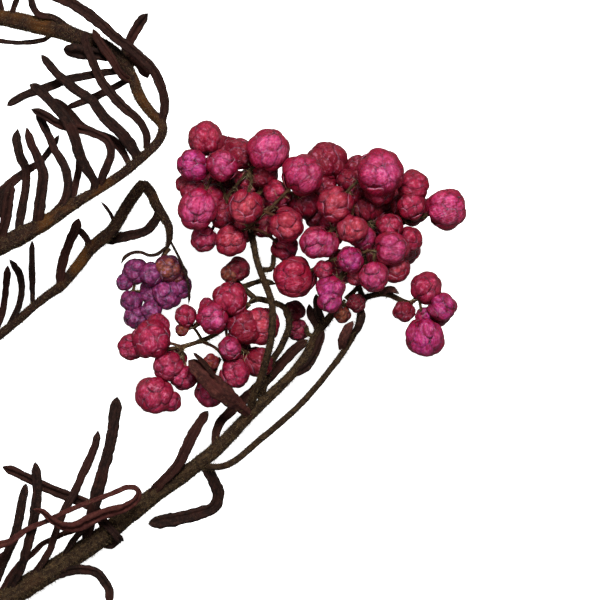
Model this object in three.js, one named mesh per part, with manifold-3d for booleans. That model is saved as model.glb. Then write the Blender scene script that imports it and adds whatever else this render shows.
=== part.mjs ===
// Dried rice flower: one forked cut branch that lies on a surface. Millimetres, +Z up.
// X and Y span the surface, and Z is the height of each stem, leaf and bud above it.
import * as THREE from 'three';
import { ConvexGeometry } from 'three/addons/geometries/ConvexGeometry.js';
import { mergeVertices } from 'three/addons/utils/BufferGeometryUtils.js';
import Module from 'manifold-3d';

const wasm = await Module();
wasm.setup();

// Driving dimensions
const GAP = 0.3; // air between a stem and the heads and shoots that grow from it
const BOX_CENTRE = [7.38, 21.5]; // middle of the whole branch, which becomes the origin
const SCRAP_VOLUME = 0.4; // loose slivers below this volume are dropped
const SMOOTH = 0.05; // fused surfaces are tidied to within this
const STEM_SIDES = 7;
const TWIG_SIDES = 5;
const STALK_SIDES = 3;
const LEAF_SIDES = 4;
const LEAF_STEP = 3.1; // length of leaf between two rings
const LEAF_FULLNESS = 1.12; // makes up for the width that four corners leave out
const STEM_STEP = 3.4; // length of stem between two rings
const TWIG_STEP = 2.6;
const LEAF_DEPTH = 0.8; // thickness of a rolled leaf as a share of its width
const FLAT_DEPTH = 0.35; // the same of a leaf that dried flat
const LEAST_LEAF = 0.6; // no leaf is narrower or thinner than this
const LEAF_LOWEST = 1.0; // no free leaf hangs lower than this
const STALK_RADIUS = 0.3;
const FORK_RADIUS = 0.4;
const STALK_FORKS_AT = 0.55; // where along a stalk the next one may branch off
const DETOUR = 3; // how much longer a stalk may be to miss one more bud
const LOBE_DEPTH = 0.8; // how deep the creases between the lobes of a bud are cut
const SMALL_LOBE_DEPTH = 0.1; // small buds stay nearly round
const BUD_STRETCH = 1.06; // a bud is a little longer than wide
const BUD_FULLNESS = 1.1; // makes up for what the creases of a globe leave out
const SMALL_BUD_FULLNESS = 1.15;
const SMALL_BUD = 1.52; // buds under this radius, and hidden ones, get fewer lobes
const SPIRAL_STEPS = [[0, 0], [0.22, 0.22], [0.36, 0.56], [0.42, 0.94]]; // a leaf's way out and on, as shares
const GOLDEN_ANGLE = Math.PI * (3 - Math.sqrt(5));
const UP = new THREE.Vector3(0, 0, 1);

const COLOURS = {
  stem: 0x3a2c1e,
  crimson: 0xb01f4f,
  magenta: 0x9c2f7c,
  withered: 0x7a3b2c,
};

// Stems and stalks: the radius at evenly spaced places from the root to the tip, and points on the middle
// line.
const MAIN_AXIS = {
  radius: [1.5, 1.42, 1.33, 1.22, 1.1, 0.95, 0.72, 0.52, 0.44],
  path: [[-31, -17, 1.2], [-20, -11.2, 1.7], [-10, -5.8, 2.4], [0, -0.3, 3.1], [4.6, 2.5, 3.5],
    [9.5, 5.8, 4.1], [12.1, 7.9, 4.45], [15.5, 10.5, 4.9], [21, 14.5, 5.8], [25, 18.5, 6.5],
    [30, 23.5, 7.2], [32, 27, 7.6], [34.5, 30, 8]],
};
const PEDUNCLES = [
  { radius: [0.42, 0.35], path: [[24.8, 18.6, 6.4], [25.4, 20.5, 7.8], [26.3, 22.9, 9.4],
    [27.2, 26.6, 11.2], [27.2, 29.7, 11], [26.4, 32, 10.4], [25.7, 34, 9.7], [25.2, 36.5, 8.6],
    [24.8, 37.5, 8.2]] },
  { radius: [0.4, 0.32], path: [[26, 20, 6.6], [27, 23.5, 6.6], [28.2, 25.5, 7.2], [28.9, 27.5, 8.2],
    [28.5, 29.2, 8.4], [27.2, 29.8, 8.2], [25.6, 30.1, 7.8], [24.8, 29.6, 7.6]] },
  { radius: [0.38, 0.32], path: [[19.6, 13.4, 5.6], [22.5, 13.4, 6], [26, 16, 6.6], [30, 19.5, 7.2],
    [33, 23, 7.8], [34.8, 25.5, 8.2], [35.8, 27.5, 8.6], [36.3, 30, 8.8], [37.5, 30.5, 8.8],
    [38.6, 30.6, 8.8], [40, 30, 8.8], [41, 29.7, 8.8]] },
];
const TWIGS = [
  { radius: [0.32, 0.26], path: [[25.5, 30.1, 7.8], [24, 31.5, 7.6], [23, 32.5, 7.8], [22.9, 33.6, 8]] },
  { radius: [0.3, 0.26], path: [[24.2, 31.3, 7.6], [26.2, 31.9, 7.4], [27.5, 31.6, 8.2]] },
  { radius: [0.32, 0.26], path: [[26.2, 33, 10], [27.2, 33.2, 8.8], [27.4, 34.8, 8]] },
  { radius: [0.34, 0.28], path: [[36.4, 30, 8.8], [36, 31, 9], [35.8, 32, 9]] },
];

// Leaves of the main stem: width, points from the root to the tip, how far the width swells or shrinks
// at evenly spaced places, and whether the leaf dried flat instead of rolled.
const MAIN_LEAVES = [
  { width: 2, path: [[25.2, 18.3, 6.7], [23.1, 20.2, 9.6], [21.3, 21.8, 10.6], [20, 23.2, 11.2],
    [18.9, 24, 11.5]], swell: [0.6, 0.65, 0.85, 1, 1, 0.95], flat: true },
  { width: 0.5, path: [[21.5, 22.4, 10.9], [20.4, 23.8, 11.4], [19.4, 24.8, 11.8]] },
  { width: 1.05, path: [[21.5, 15.2, 5.9], [21.7, 17.2, 5.6], [22.8, 18.6, 5.3], [24.6, 20.2, 5.2],
    [26.8, 22.2, 5.3], [28.5, 24, 5.5], [29.8, 25.3, 5.8], [30.8, 26, 6]] },
  { width: 0.8, path: [[29.4, 22.6, 7.1], [30.7, 23.3, 8], [31.5, 24.5, 8.3], [31.9, 25.6, 8.5],
    [32.4, 26.9, 8.5]] },
  { width: 1.05, path: [[14.6, 10, 4.8], [16, 11.6, 6], [17.8, 13.5, 6.6], [19, 16, 7], [19.9, 17.6, 7.1],
    [20.8, 18.9, 7.2]] },
  { width: 1.25, path: [[20.2, 13.9, 5.7], [21.2, 12, 4.8], [21.8, 10.4, 4.1], [21.4, 9.2, 3.8],
    [20.2, 8.6, 3.6], [18, 8, 3.4], [14.7, 7.4, 3.6]] },
  { width: 1.2, path: [[8.3, 5.2, 4], [9.5, 10, 6.2], [10.3, 13, 7], [11.1, 16, 7.4], [11.7, 20.3, 7.6]] },
  { width: 0.95, path: [[2.4, 1.4, 3.3], [4.1, 3.6, 4.8], [4.9, 5, 5.4], [5.4, 6.5, 5.7], [6.3, 8.8, 5.8],
    [7.4, 10.8, 5.8], [8.2, 12.6, 5.7], [9.4, 15.4, 5.4], [9.7, 16.9, 5.4]], swell:
    [0.7, 0.75, 0.8, 1, 1.05, 1] },
  { width: 1.05, path: [[10.4, 6.8, 4.4], [9.5, 8.8, 4.8], [8.5, 9.5, 4.7], [6.2, 10.4, 4.5],
    [4.7, 11, 4.4], [3.1, 11.8, 4.3], [1.5, 12.6, 4.2], [0, 13.2, 4.2]] },
  { width: 0.95, path: [[0.4, 0.2, 3.2], [2, 3.2, 5.4], [2.4, 4.4, 6.2], [3, 6.5, 7], [3.5, 9, 7.4],
    [3.7, 11, 7.6], [3.5, 13.8, 7.8]] },
  { width: 0.9, path: [[-1.6, -0.9, 3], [0, 3.2, 4.2], [0.5, 4.4, 4.6], [1.1, 5.7, 5], [1.6, 7.3, 5.4],
    [2.05, 9.5, 5.8], [2.5, 11.6, 6]] },
  { width: 1, path: [[-4.4, -2.4, 2.8], [-3.6, 1.6, 5.4], [-0.4, 5.3, 7.2], [0.95, 5.8, 7.4],
    [2.8, 7.1, 7.8], [4.7, 7.9, 8.1], [6.3, 8.7, 8.3], [7.9, 9.4, 8.5], [9.5, 10, 8.6], [11.5, 10.8, 8.8],
    [12.7, 11.3, 8.8], [13.6, 11.2, 8.7], [13.9, 10.7, 8.5], [13.5, 9.9, 8.2], [12.4, 9.2, 7.9],
    [10.6, 8.7, 7.6], [8.8, 7.9, 7.5], [7.6, 7.3, 7.7], [6.3, 7.4, 8.2], [5.2, 8.05, 8.8], [4.3, 8.9, 9.1],
    [3.3, 9.1, 9.2]], swell: [0.8, 0.9, 0.95, 0.9, 0.6, 0.55, 0.55, 0.55, 0.6, 1.1, 1.3, 0.9, 0.5] },
  { width: 0.65, path: [[-0.8, -0.4, 3.1], [1.6, 3.2, 4.2], [3.3, 4.7, 4.6], [4, 5.4, 4.7], [5.2, 6, 4.8],
    [6.3, 6.5, 4.8], [7.7, 6.8, 4.7]] },
  { width: 0.6, path: [[6.2, 4.2, 4.2], [6.9, 5.4, 5], [8, 6.7, 5.3], [9, 7.6, 5.4], [9.8, 8.2, 5.4]] },
  { width: 0.95, path: [[4.6, 2.7, 3.4], [5.5, 2.3, 3.9], [6.8, 2.7, 4.8], [7.9, 2.9, 5.6], [9.5, 2.7, 6.4],
    [10.3, 1.9, 6.8], [10.9, 0.95, 7], [10.9, -0.6, 7]] },
  { width: 0.75, path: [[12, 5.7, 4.2], [11.8, 6, 5.1], [11.2, 6.7, 5.6], [10.5, 7.5, 5.5],
    [9.8, 8.2, 5]] },
  { width: 0.8, path: [[11.9, 6.3, 4.5], [11.3, 5.5, 4], [10.2, 5, 3.6]] },
  { width: 0.85, path: [[32, 26.9, 7.4], [31.2, 28.4, 6.4], [30.9, 29.6, 6.2]] },
  { width: 0.8, path: [[32.4, 27.4, 7.4], [31.8, 29, 7.2], [31.6, 30.6, 7.4]] },
  { width: 1, path: [[34.2, 25.1, 8.2], [34.3, 26, 9], [34.7, 27, 9.2], [35.3, 27.9, 9]] },
  { width: 0.75, path: [[35.2, 26.4, 8.4], [36, 27.6, 9.4], [36.3, 29.2, 9.6]] },
  { width: 0.7, path: [[38.1, 30.6, 8.8], [39, 31.1, 9.6], [39.9, 30.6, 10]] },
];

// Curled leafy shoot: it leaves the main stem low down and curls over at its tip.
const CURLED_STEM = {
  radius: [1.25, 1.2, 1.15, 1.1, 1.05, 1.02, 1, 0.92, 0.5, 0.48, 0.62, 0.92, 0.85],
  path: [[-22.6, -12.4, 1.9], [-21.6, -4, 5], [-20.4, 6, 8], [-17.6, 17, 10.4], [-13, 26, 12],
    [-7, 31.8, 13], [0, 35.2, 13.6], [2.5, 36.4, 13.7], [5, 37.8, 13.8], [7.5, 39.4, 13.8],
    [10, 40.9, 13.8], [12, 42.2, 13.7], [14, 43.8, 13.5], [16, 45.8, 13], [16.4, 47.2, 12.8],
    [15.2, 48.6, 12.6], [14.2, 50, 12.5], [13.3, 52.2, 12.4], [12.3, 53.8, 12.2], [10.4, 55.3, 12],
    [8, 56.1, 11.8], [6.2, 56.8, 11.7], [3.5, 57.4, 11.6], [1.2, 57.9, 11.6], [-3, 58.4, 11.8]],
};
const CURLED_LEAVES = [
  { width: 1, path: [[14.1, 43.9, 13.4], [13.5, 44.9, 13.9], [12.5, 46.3, 14.4], [10.8, 47.9, 15],
    [9.4, 49.7, 15.2], [7.8, 50.8, 15.2], [5.7, 52.7, 15.2], [4.5, 54.2, 15]], swell:
    [1.2, 1.25, 1.1, 0.9, 0.9] },
  { width: 0.9, path: [[14.8, 45, 13.2], [14.8, 46.5, 13.8], [14, 47.8, 14.2], [12.6, 49, 14.5],
    [11.3, 50.4, 14.6], [10.2, 52, 14.4], [9.5, 53.6, 14.2], [8.8, 55.4, 14], [8.8, 56.6, 13.8]] },
  { width: 0.85, path: [[13.1, 43.4, 13.6], [12.5, 44.6, 13], [11.5, 45.8, 12.6], [10.2, 46.3, 12.4],
    [8.4, 47.2, 12.2], [7.2, 48.5, 12], [6.2, 49.4, 12], [5.2, 49.9, 12]] },
  { width: 0.9, path: [[10, 41, 13.8], [10.6, 42.4, 14.6], [11.4, 44.6, 15.3], [11, 45.7, 15.5],
    [10, 46.3, 15.6], [8.5, 46.8, 15.6], [7.2, 47, 15.6], [5.8, 47.6, 15.5], [4.7, 48.3, 15.5],
    [3.5, 48.8, 15.4]] },
  { width: 1, path: [[9.5, 40.4, 13.8], [9.7, 41.6, 14.4], [8.8, 43.2, 15.2], [8.2, 44.6, 15.8],
    [7.7, 46.4, 16.2], [6.8, 48, 16.3], [5.7, 49.3, 16.3], [4.1, 50.8, 16.2], [3.4, 51.2, 16.2]] },
  { width: 0.75, path: [[7.3, 39.2, 13.8], [7.7, 41.2, 13], [8.1, 43.2, 12.4], [8, 45.5, 12],
    [7.4, 47, 11.8]] },
  { width: 0.85, path: [[5, 38, 13.8], [6.7, 39.8, 14.2], [7.1, 41.5, 14.4], [6.7, 43.3, 14.4],
    [5.8, 44.8, 14.4], [5.2, 46.2, 14.2], [4.6, 47.4, 14], [4, 48.7, 14]] },
  { width: 1.15, path: [[4, 37.2, 13.8], [4.2, 38.5, 14.6], [4.5, 40.5, 15.2], [4.7, 42.3, 15.6],
    [4.2, 44, 15.8], [3.5, 45.5, 16], [3.1, 47, 16]], swell: [1, 1.05, 1, 0.8, 0.7] },
  { width: 0.9, path: [[2.1, 36.4, 13.8], [2.4, 38.5, 13.2], [2.8, 41, 12.6], [2.8, 43, 12.2],
    [2.2, 44.3, 12], [1.9, 46, 11.8], [2, 47, 11.8]] },
  { width: 1.1, path: [[0.2, 35.4, 13.8], [1, 38, 15], [1.3, 40, 15.6], [1.6, 41.6, 15.8]] },
  { width: 1.1, path: [[-1.4, 34.7, 13.6], [-0.4, 37.5, 14.6], [0.4, 39.6, 15], [0.6, 41, 15]] },
  { width: 0.9, path: [[-3.5, 33.8, 13.4], [-1.5, 37.8, 12.4], [0.5, 40.8, 12], [2.6, 42.6, 11.8],
    [4.3, 43.8, 11.6], [5.3, 45.1, 11.6], [6.1, 46.4, 11.6]], swell: [1.1, 1, 1, 0.8, 0.7] },
  { width: 0.85, path: [[12.6, 52.8, 12.2], [11.8, 52.7, 12.8], [9.5, 52.3, 13.2], [7.1, 51.8, 13.6],
    [4.7, 50.9, 13.5], [2.6, 50.2, 13.3], [1, 49.2, 13.2]] },
  { width: 0.75, path: [[12.9, 51.8, 12.4], [11.1, 50.9, 11.4], [9.2, 50, 10.8], [7.8, 49.5, 10.6],
    [6.6, 49.1, 10.4]] },
  { width: 1.55, path: [[12, 54, 12.2], [10, 54.3, 13.2], [8, 54.6, 13.7], [6.6, 54.8, 13.8]], swell:
    [0.7, 0.75, 0.95, 1] },
  { width: 0.5, path: [[5.6, 56.7, 11.7], [4.8, 56, 10.9], [3.5, 55.7, 10.5], [1.9, 55.6, 10.4],
    [0, 55.8, 10.4], [-1.5, 56, 10.4]] },
  { width: 1.05, path: [[12.4, 53.7, 12.1], [12.8, 54.9, 11.4], [13.1, 55.8, 11], [13.9, 57.3, 10.9],
    [14.5, 58.1, 11], [14.9, 58.5, 11]] },
  { width: 1.3, path: [[12.9, 53.2, 12.2], [13.6, 54.2, 12], [14.3, 53.5, 12], [14.9, 52, 12]] },
  { width: 1, path: [[16.3, 47.1, 12.8], [16.6, 49.6, 13.4], [16.3, 51, 13.8], [15.4, 52.9, 14.1],
    [14.6, 53.7, 14.2], [13.3, 54.8, 14.3], [11.8, 55.9, 14.3], [10.4, 57.2, 14.2], [9, 58.3, 14],
    [7.1, 59.5, 13.7], [5.4, 60.2, 13.5], [3, 61, 13.2]] },
  { width: 0.8, path: [[13.4, 51.6, 12.6], [12.3, 52.3, 13.6], [11.4, 53.8, 14], [10.2, 55.5, 14],
    [9.5, 56.8, 13.8]] },
  { width: 0.65, path: [[7, 57, 11.8], [5.6, 58, 12.4], [4.1, 58.3, 12.6], [3.5, 59.2, 12.8],
    [3.3, 60.8, 12.8]] },
  { width: 0.6, path: [[1.4, 57.8, 11.6], [1.6, 59, 12.2], [2.3, 60.4, 12.6]] },
  { width: 0.8, path: [[0.4, 57.9, 11.6], [0.2, 59, 11.8], [-0.3, 61.4, 12]] },
  { width: 0.9, path: [[-2.4, 58.3, 11.8], [-5, 58.2, 12.6], [-7.6, 56.8, 12.8]] },
  { width: 0.85, path: [[-2.6, 58.4, 11.8], [-5.2, 59.6, 11.4], [-8, 60.2, 11.2]] },
  { width: 0.85, path: [[-2.4, 58.3, 11.8], [-4.4, 58, 10.4], [-6.4, 56.2, 9.6]] },
];

// Low budding shoot: it runs under the curled one and carries the small purple head.
const BUDDING_STEM = {
  radius: [0.95, 0.9, 0.82, 0.72, 0.6, 0.5, 0.44, 0.66, 0.6, 0.42],
  path: [[-17.9, -10, 1.8], [-16.6, -2, 2.4], [-14.4, 7, 3], [-10.6, 15.4, 3.6], [-5.6, 22.2, 4],
    [0, 26.7, 4.2], [1.6, 28, 4.3], [3.2, 29.4, 4.5], [4.5, 30.4, 4.6], [6, 31.5, 4.6], [7.9, 33.8, 4.7],
    [8.95, 35.2, 4.8], [10.5, 36.5, 4.9], [11.3, 37.3, 5], [12.1, 38.6, 5.1], [12.9, 39.9, 5.2],
    [13.7, 41, 5.3], [14.2, 41.6, 5.3], [15, 40.7, 5.2], [15.5, 39.6, 5], [16.3, 38.3, 4.7],
    [16.8, 37.3, 4.5], [16.8, 36, 4.3], [16.5, 35.1, 4]],
};
const BUDDING_LEAVES = [
  { width: 0.7, path: [[0.6, 27.3, 4.2], [1.5, 28.9, 4.8], [2, 30.7, 5.2], [1.85, 32.5, 5.5],
    [0.8, 34.1, 5.6]] },
  { width: 0.7, path: [[-1.2, 26, 4.1], [-0.1, 28.5, 3.6], [0.3, 31, 3.4], [0.5, 33.5, 3.4]] },
  { width: 0.6, path: [[3.1, 29.3, 4.4], [3, 32, 3.8], [2.95, 34.1, 3.4], [2.95, 36, 3.2]] },
  { width: 0.95, path: [[5.8, 31.2, 4.6], [6, 33.2, 5.3], [6.8, 35.7, 5.9], [7.5, 37.2, 6.2],
    [7.8, 38.2, 6.2]] },
  { width: 0.7, path: [[8.6, 34.9, 4.8], [8.7, 35.8, 5.2], [8.2, 36.6, 5.5], [7.5, 37.4, 5.8]] },
  { width: 1, path: [[15.9, 39, 4.9], [15.4, 38, 4.4], [14.5, 37, 3.8], [12.9, 36.5, 3.3], [11.6, 36.3, 3],
    [10.2, 35.8, 2.8]] },
  { width: 0.35, path: [[16.6, 35.4, 4.3], [15.6, 34.6, 4.7], [14.8, 34.5, 4.8], [14, 34.8, 5],
    [13, 34.7, 5], [12.3, 34.2, 5], [12, 33.6, 5]] },
  { width: 0.3, path: [[16.9, 36, 4.2], [17.9, 34.1, 4.8], [18.6, 32.3, 5], [18.85, 30.7, 4.9],
    [18.8, 29.5, 4.8]] },
  { width: 0.35, path: [[11.3, 37.6, 5], [11.1, 38.4, 5.4], [10.6, 39.2, 5.8], [10, 39.9, 6]] },
];

// Leaves beyond the measured stretch: a golden angle spiral between two shares of a stem's length.
const MAIN_SPIRAL = { from: 0.1, to: 0.38, count: 6, length: 11.5, width: 1.1, turn: 0.6, seed: 5 };
const CURLED_SPIRAL = { from: 0.05, to: 0.42, count: 11, length: 11.5, width: 1.05, turn: 1.4, seed: 8 };
const BUDDING_SPIRAL = { from: 0.12, to: 0.5, count: 7, length: 9, width: 0.85, turn: 2.2, seed: 12 };

// Heads of buds: the root on its peduncle, the forks, and x, y, z and radius of each bud.
const HEADS = [
  {
    name: 'head_left', colour: COLOURS.crimson, root: [24.8, 37.6, 8.2], seed: 21,
    forks: [[22.6, 40.2, 8.6], [26.2, 41, 8.4], [24.4, 40.4, 5]],
    buds: [[20.6, 46.1, 8, 1.65], [22.3, 45.5, 7.2, 0.95], [19.4, 43.4, 10.5, 1.5], [22.3, 43.4, 11.2, 1.5],
      [23.9, 44.6, 8.6, 1.45], [26.9, 44.9, 10.8, 2], [26.4, 42.7, 9, 1.35], [18.5, 41.6, 8.2, 0.85],
      [19.8, 39, 10.4, 1.9], [19.4, 40.8, 8.6, 1.2], [24.6, 39.2, 12.9, 1.55], [27.7, 40.5, 9.8, 1.35],
      [28.7, 37.5, 11.4, 1.55], [30.3, 42.4, 11.6, 1.95], [20.4, 36.1, 8.2, 1.25], [23.1, 35.9, 10.4, 1.5],
      [22.4, 38.4, 8.4, 1.25], [26.5, 37.5, 8.2, 1.2], [28.5, 35.3, 8, 1.25], [21.2, 40.2, 8.4, 1.3],
      [30.4, 39.6, 8.8, 1.4], [24.9, 41.8, 7.6, 1.3], [24, 41.6, 1.25, 1.4], [22.6, 39.9, 7.4, 1.15],
      [28.6, 39.6, 7.6, 1.25], [26.2, 39.6, 6.8, 1.2]],
    back: [{ middle: [23.8, 40.6, 7.4], reach: [4.2, 4.1, 5.2], count: 7, radius: 1.6 }],
  },
  {
    name: 'head_right', colour: COLOURS.crimson, root: [34.6, 30.1, 8], seed: 22,
    forks: [[36.4, 33.8, 8.4], [37, 38, 8.8], [39.6, 37.4, 8.6], [36.8, 36.6, 5]],
    buds: [[32.7, 43.8, 7, 1.95], [35.7, 43.4, 6.4, 1.05], [34.7, 42, 7.8, 1], [38, 42.7, 11.8, 2.25],
      [38, 41, 10.4, 1.4], [41.3, 41.4, 9.4, 1.45], [41.1, 39.4, 9.8, 1.25], [44.6, 39.1, 8.6, 1.9],
      [42.4, 39.3, 8, 0.85], [33.5, 39.5, 12.6, 1.65], [35.2, 37, 12.4, 1.4], [36.2, 36.2, 10.6, 1.2],
      [31.6, 35.7, 12, 1.5], [32.6, 35.6, 11.8, 1.25], [35, 34, 12.8, 1.2], [29.4, 32.3, 10.6, 1.95],
      [33, 31.2, 11.6, 1.3], [33, 30, 11.6, 1.15], [38.9, 37.3, 10.4, 1.2], [39.1, 35.1, 12, 1.6],
      [40.8, 36, 9.2, 1.25], [39.5, 33.1, 10.4, 1.3], [37.3, 32.3, 12, 1.4], [35.5, 32.4, 11, 0.9],
      [32.3, 33, 11.8, 0.85], [33.3, 37.3, 9.4, 1.4], [37, 39.2, 8.6, 1.35], [35.9, 40.6, 8, 1.2],
      [38, 36.2, 1.3, 1.45], [32.4, 41.3, 7.2, 1.25], [31.6, 38.5, 7.4, 1.2]],
    back: [{ middle: [36.6, 37.6, 7.4], reach: [4.7, 4.8, 5.2], count: 9, radius: 1.7 }],
  },
  {
    name: 'head_lower', colour: COLOURS.crimson, root: [24.9, 29.6, 7.6], seed: 23,
    forks: [[22.8, 27.4, 7.4], [20.2, 25.9, 7.8], [18.2, 25.3, 7.8]],
    buds: [[13.1, 25.3, 8.6, 1.2], [15.2, 26.1, 9.6, 1.85], [15.8, 27.4, 8.6, 1.15], [16.8, 23.4, 9.2, 1.4],
      [18.4, 22.3, 8.6, 1.2], [15.5, 20.5, 9.2, 1.8], [17, 19.9, 8.8, 1], [18.6, 28.4, 8.8, 1],
      [18.2, 27, 8.6, 0.55], [21.3, 28.2, 10.2, 1.45], [20.7, 29.5, 9.4, 0.65], [23, 30.1, 9.4, 1.6],
      [24.4, 27.3, 8.6, 1.7], [26.1, 27.4, 7.9, 1.8], [23, 25.2, 9.4, 1.05], [23.5, 22.7, 8.2, 1.4],
      [25.8, 23.8, 7.4, 1.4], [20.9, 20.7, 7.8, 1.35], [20.5, 22.5, 8, 1.05], [21.1, 23.8, 8.4, 0.7]],
    back: [
      { middle: [15.9, 23.8, 7.4], reach: [1.7, 3, 2.1], count: 2, radius: 1.4 },
      { middle: [23.6, 27.2, 6.6], reach: [1.8, 2.6, 2.2], count: 3, radius: 1.4 },
    ],
  },
  {
    name: 'head_spray', colour: COLOURS.crimson, root: [41, 29.7, 8.8], seed: 24,
    forks: [[41.9, 30.2, 8.9]],
    buds: [[42.6, 31.2, 9, 1.5], [44.2, 29.3, 9.2, 1.3], [42.5, 26.3, 9, 1.85], [42.4, 28.4, 8.6, 0.8],
      [40.4, 28.9, 8.6, 1]],
    back: [{ middle: [42.9, 28.6, 8], reach: [1, 1.6, 1.2], count: 1, radius: 1.2 }],
  },
  {
    name: 'head_purple', colour: COLOURS.magenta, root: [16.8, 35.2, 4], seed: 25,
    forks: [[15.6, 32.8, 3.2]],
    buds: [[13.4, 32.9, 3.4, 1.2], [12.3, 31.8, 3.3, 0.8], [15, 32.6, 3.9, 1.1], [13, 29.9, 3, 1.05],
      [13.4, 28.3, 2.7, 1.1], [15, 29, 3.2, 1], [14.8, 30.8, 2.6, 1.05], [16.6, 30.6, 3.3, 1.4],
      [17.9, 31.3, 2.9, 1.1], [16.7, 33.2, 3.8, 1.3], [17.6, 32.6, 3.1, 1], [15.3, 31.4, 1.15, 1.25]],
    back: [],
  },
  {
    name: 'withered_bud_left', colour: COLOURS.withered, root: [22.9, 33.6, 8], seed: 26,
    forks: [[23.3, 33.5, 8]],
    buds: [[23.8, 33.1, 8, 1.1], [23, 32.6, 8.3, 0.85]],
    back: [],
  },
  {
    name: 'withered_bud_middle', colour: COLOURS.withered, root: [34.2, 29.6, 8], seed: 27,
    forks: [[34.7, 29.4, 8.9]],
    buds: [[35.6, 29.7, 9.8, 0.85], [34.2, 28.5, 9.4, 0.75]],
    back: [],
  },
  {
    name: 'withered_bud_low', colour: COLOURS.withered, root: [31.6, 26.4, 7.5], seed: 28,
    forks: [[30.6, 27, 6]],
    buds: [[29.8, 27, 5.4, 1], [29.4, 28.9, 5.4, 1]],
    back: [],
  },
];

// A repeatable source of random numbers between 0 and 1.
function seededRandom(seed) {
  let state = seed;
  return () => {
    state = (state + 0x6d2b79f5) | 0;
    let mixed = Math.imul(state ^ (state >>> 15), 1 | state);
    mixed = (mixed + Math.imul(mixed ^ (mixed >>> 7), 61 | mixed)) ^ mixed;
    return ((mixed ^ (mixed >>> 14)) >>> 0) / 4294967296;
  };
}

// Keeps only the positions of a geometry, joins the corners that meet and drops faces left without area.
function weld(geometry) {
  geometry.deleteAttribute('normal');
  geometry.deleteAttribute('uv');
  const welded = mergeVertices(geometry, 1e-4);
  const faces = [];
  const corners = welded.index.array;
  for (let i = 0; i < corners.length; i += 3) {
    const [a, b, c] = corners.slice(i, i + 3);
    if (a !== b && b !== c && c !== a) faces.push(a, b, c);
  }
  welded.setIndex(faces);
  return welded;
}

function toSolid(geometry) {
  const vertProperties = new Float32Array(geometry.attributes.position.array);
  const triVerts = new Uint32Array(geometry.index.array);
  return new wasm.Manifold(new wasm.Mesh({ numProp: 3, vertProperties, triVerts }));
}

function toGeometry(solid) {
  const mesh = solid.getMesh();
  const geometry = new THREE.BufferGeometry();
  geometry.setAttribute('position', new THREE.BufferAttribute(mesh.vertProperties, 3));
  geometry.setIndex(new THREE.BufferAttribute(mesh.triVerts, 1));
  return geometry;
}

function curveThrough(path) {
  return new THREE.CatmullRomCurve3(path.map((point) => new THREE.Vector3(...point)), false, 'centripetal');
}

// A frame at one share of a curve: the point, the way along, the way across and the way that it faces.
function frameAt(curve, share, facingBefore) {
  const along = curve.getTangentAt(share);
  const facing = facingBefore.clone().addScaledVector(along, -facingBefore.dot(along)).normalize();
  return { point: curve.getPointAt(share), along, facing, across: along.clone().cross(facing) };
}

// A frame for each ring of a sweep, carried from ring to ring so that the sweep doesn't twist.
function ringFrames(curve, rings) {
  const frames = [frameAt(curve, 0, UP)];
  for (let ring = 1; ring <= rings; ring += 1) {
    frames.push(frameAt(curve, ring / rings, frames[ring - 1].facing));
  }
  return frames;
}

// A closed cylinder bent along a path, with a half width and a half depth for each ring.
// Its corners stand out just far enough to give the section of a round stem the same area.
function sweep(path, sides, rings, halfWidth, halfDepth, grow) {
  const frames = ringFrames(curveThrough(path), rings);
  const shape = weld(new THREE.CylinderGeometry(1, 1, 1, sides, rings, false, Math.PI / sides));
  const corner = Math.sqrt(2 * Math.PI / sides / Math.sin(2 * Math.PI / sides));
  const position = shape.attributes.position;
  for (let i = 0; i < position.count; i += 1) {
    const ring = Math.round((position.getY(i) + 0.5) * rings);
    const { point, along, across, facing } = frames[ring];
    const share = ring / rings;
    const place = point.clone()
      .addScaledVector(across, position.getX(i) * corner * (halfWidth(share) + grow))
      .addScaledVector(facing, position.getZ(i) * corner * (halfDepth(share) + grow));
    if (ring === 0) place.addScaledVector(along, -grow);
    if (ring === rings) place.addScaledVector(along, grow);
    position.setXYZ(i, place.x, place.y, place.z);
  }
  return toSolid(weld(shape));
}

// The value at one share of the way along a row of evenly spaced values.
function valueAlong(values, share) {
  const place = share * (values.length - 1);
  const before = Math.min(Math.floor(place), values.length - 2);
  return THREE.MathUtils.lerp(values[before], values[before + 1], place - before);
}

// A round stem, as thick as its row of radii says.
function stem({ path, radius }, sides, grow) {
  const step = sides === STEM_SIDES ? STEM_STEP : TWIG_STEP;
  const rings = Math.max(2, Math.round(curveThrough(path).getLength() / step));
  const size = (share) => valueAlong(radius, share);
  return sweep(path, sides, rings, size, size, grow);
}

// A rolled leaf: narrower at the root, full along the middle and closed in a point at the tip.
function leaf({ path, width, swell = [1, 1], flat = false }, grow) {
  const taper = (share) => (1 - 0.3 * (1 - share) ** 6) * (1 - share ** 6);
  const wide = (share) => Math.max(width * valueAlong(swell, share), LEAST_LEAF);
  const half = (share) => 0.5 * LEAF_FULLNESS * taper(share) * wide(share);
  const thickness = flat ? FLAT_DEPTH : LEAF_DEPTH;
  const depth = (share) => 0.5 * LEAF_FULLNESS * taper(share) * Math.max(thickness * wide(share), LEAST_LEAF);
  const length = curveThrough(path).getLength();
  const rings = THREE.MathUtils.clamp(Math.round(length / LEAF_STEP), 3, 2 * path.length);
  return sweep(path, LEAF_SIDES, rings, half, depth, grow);
}

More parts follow.
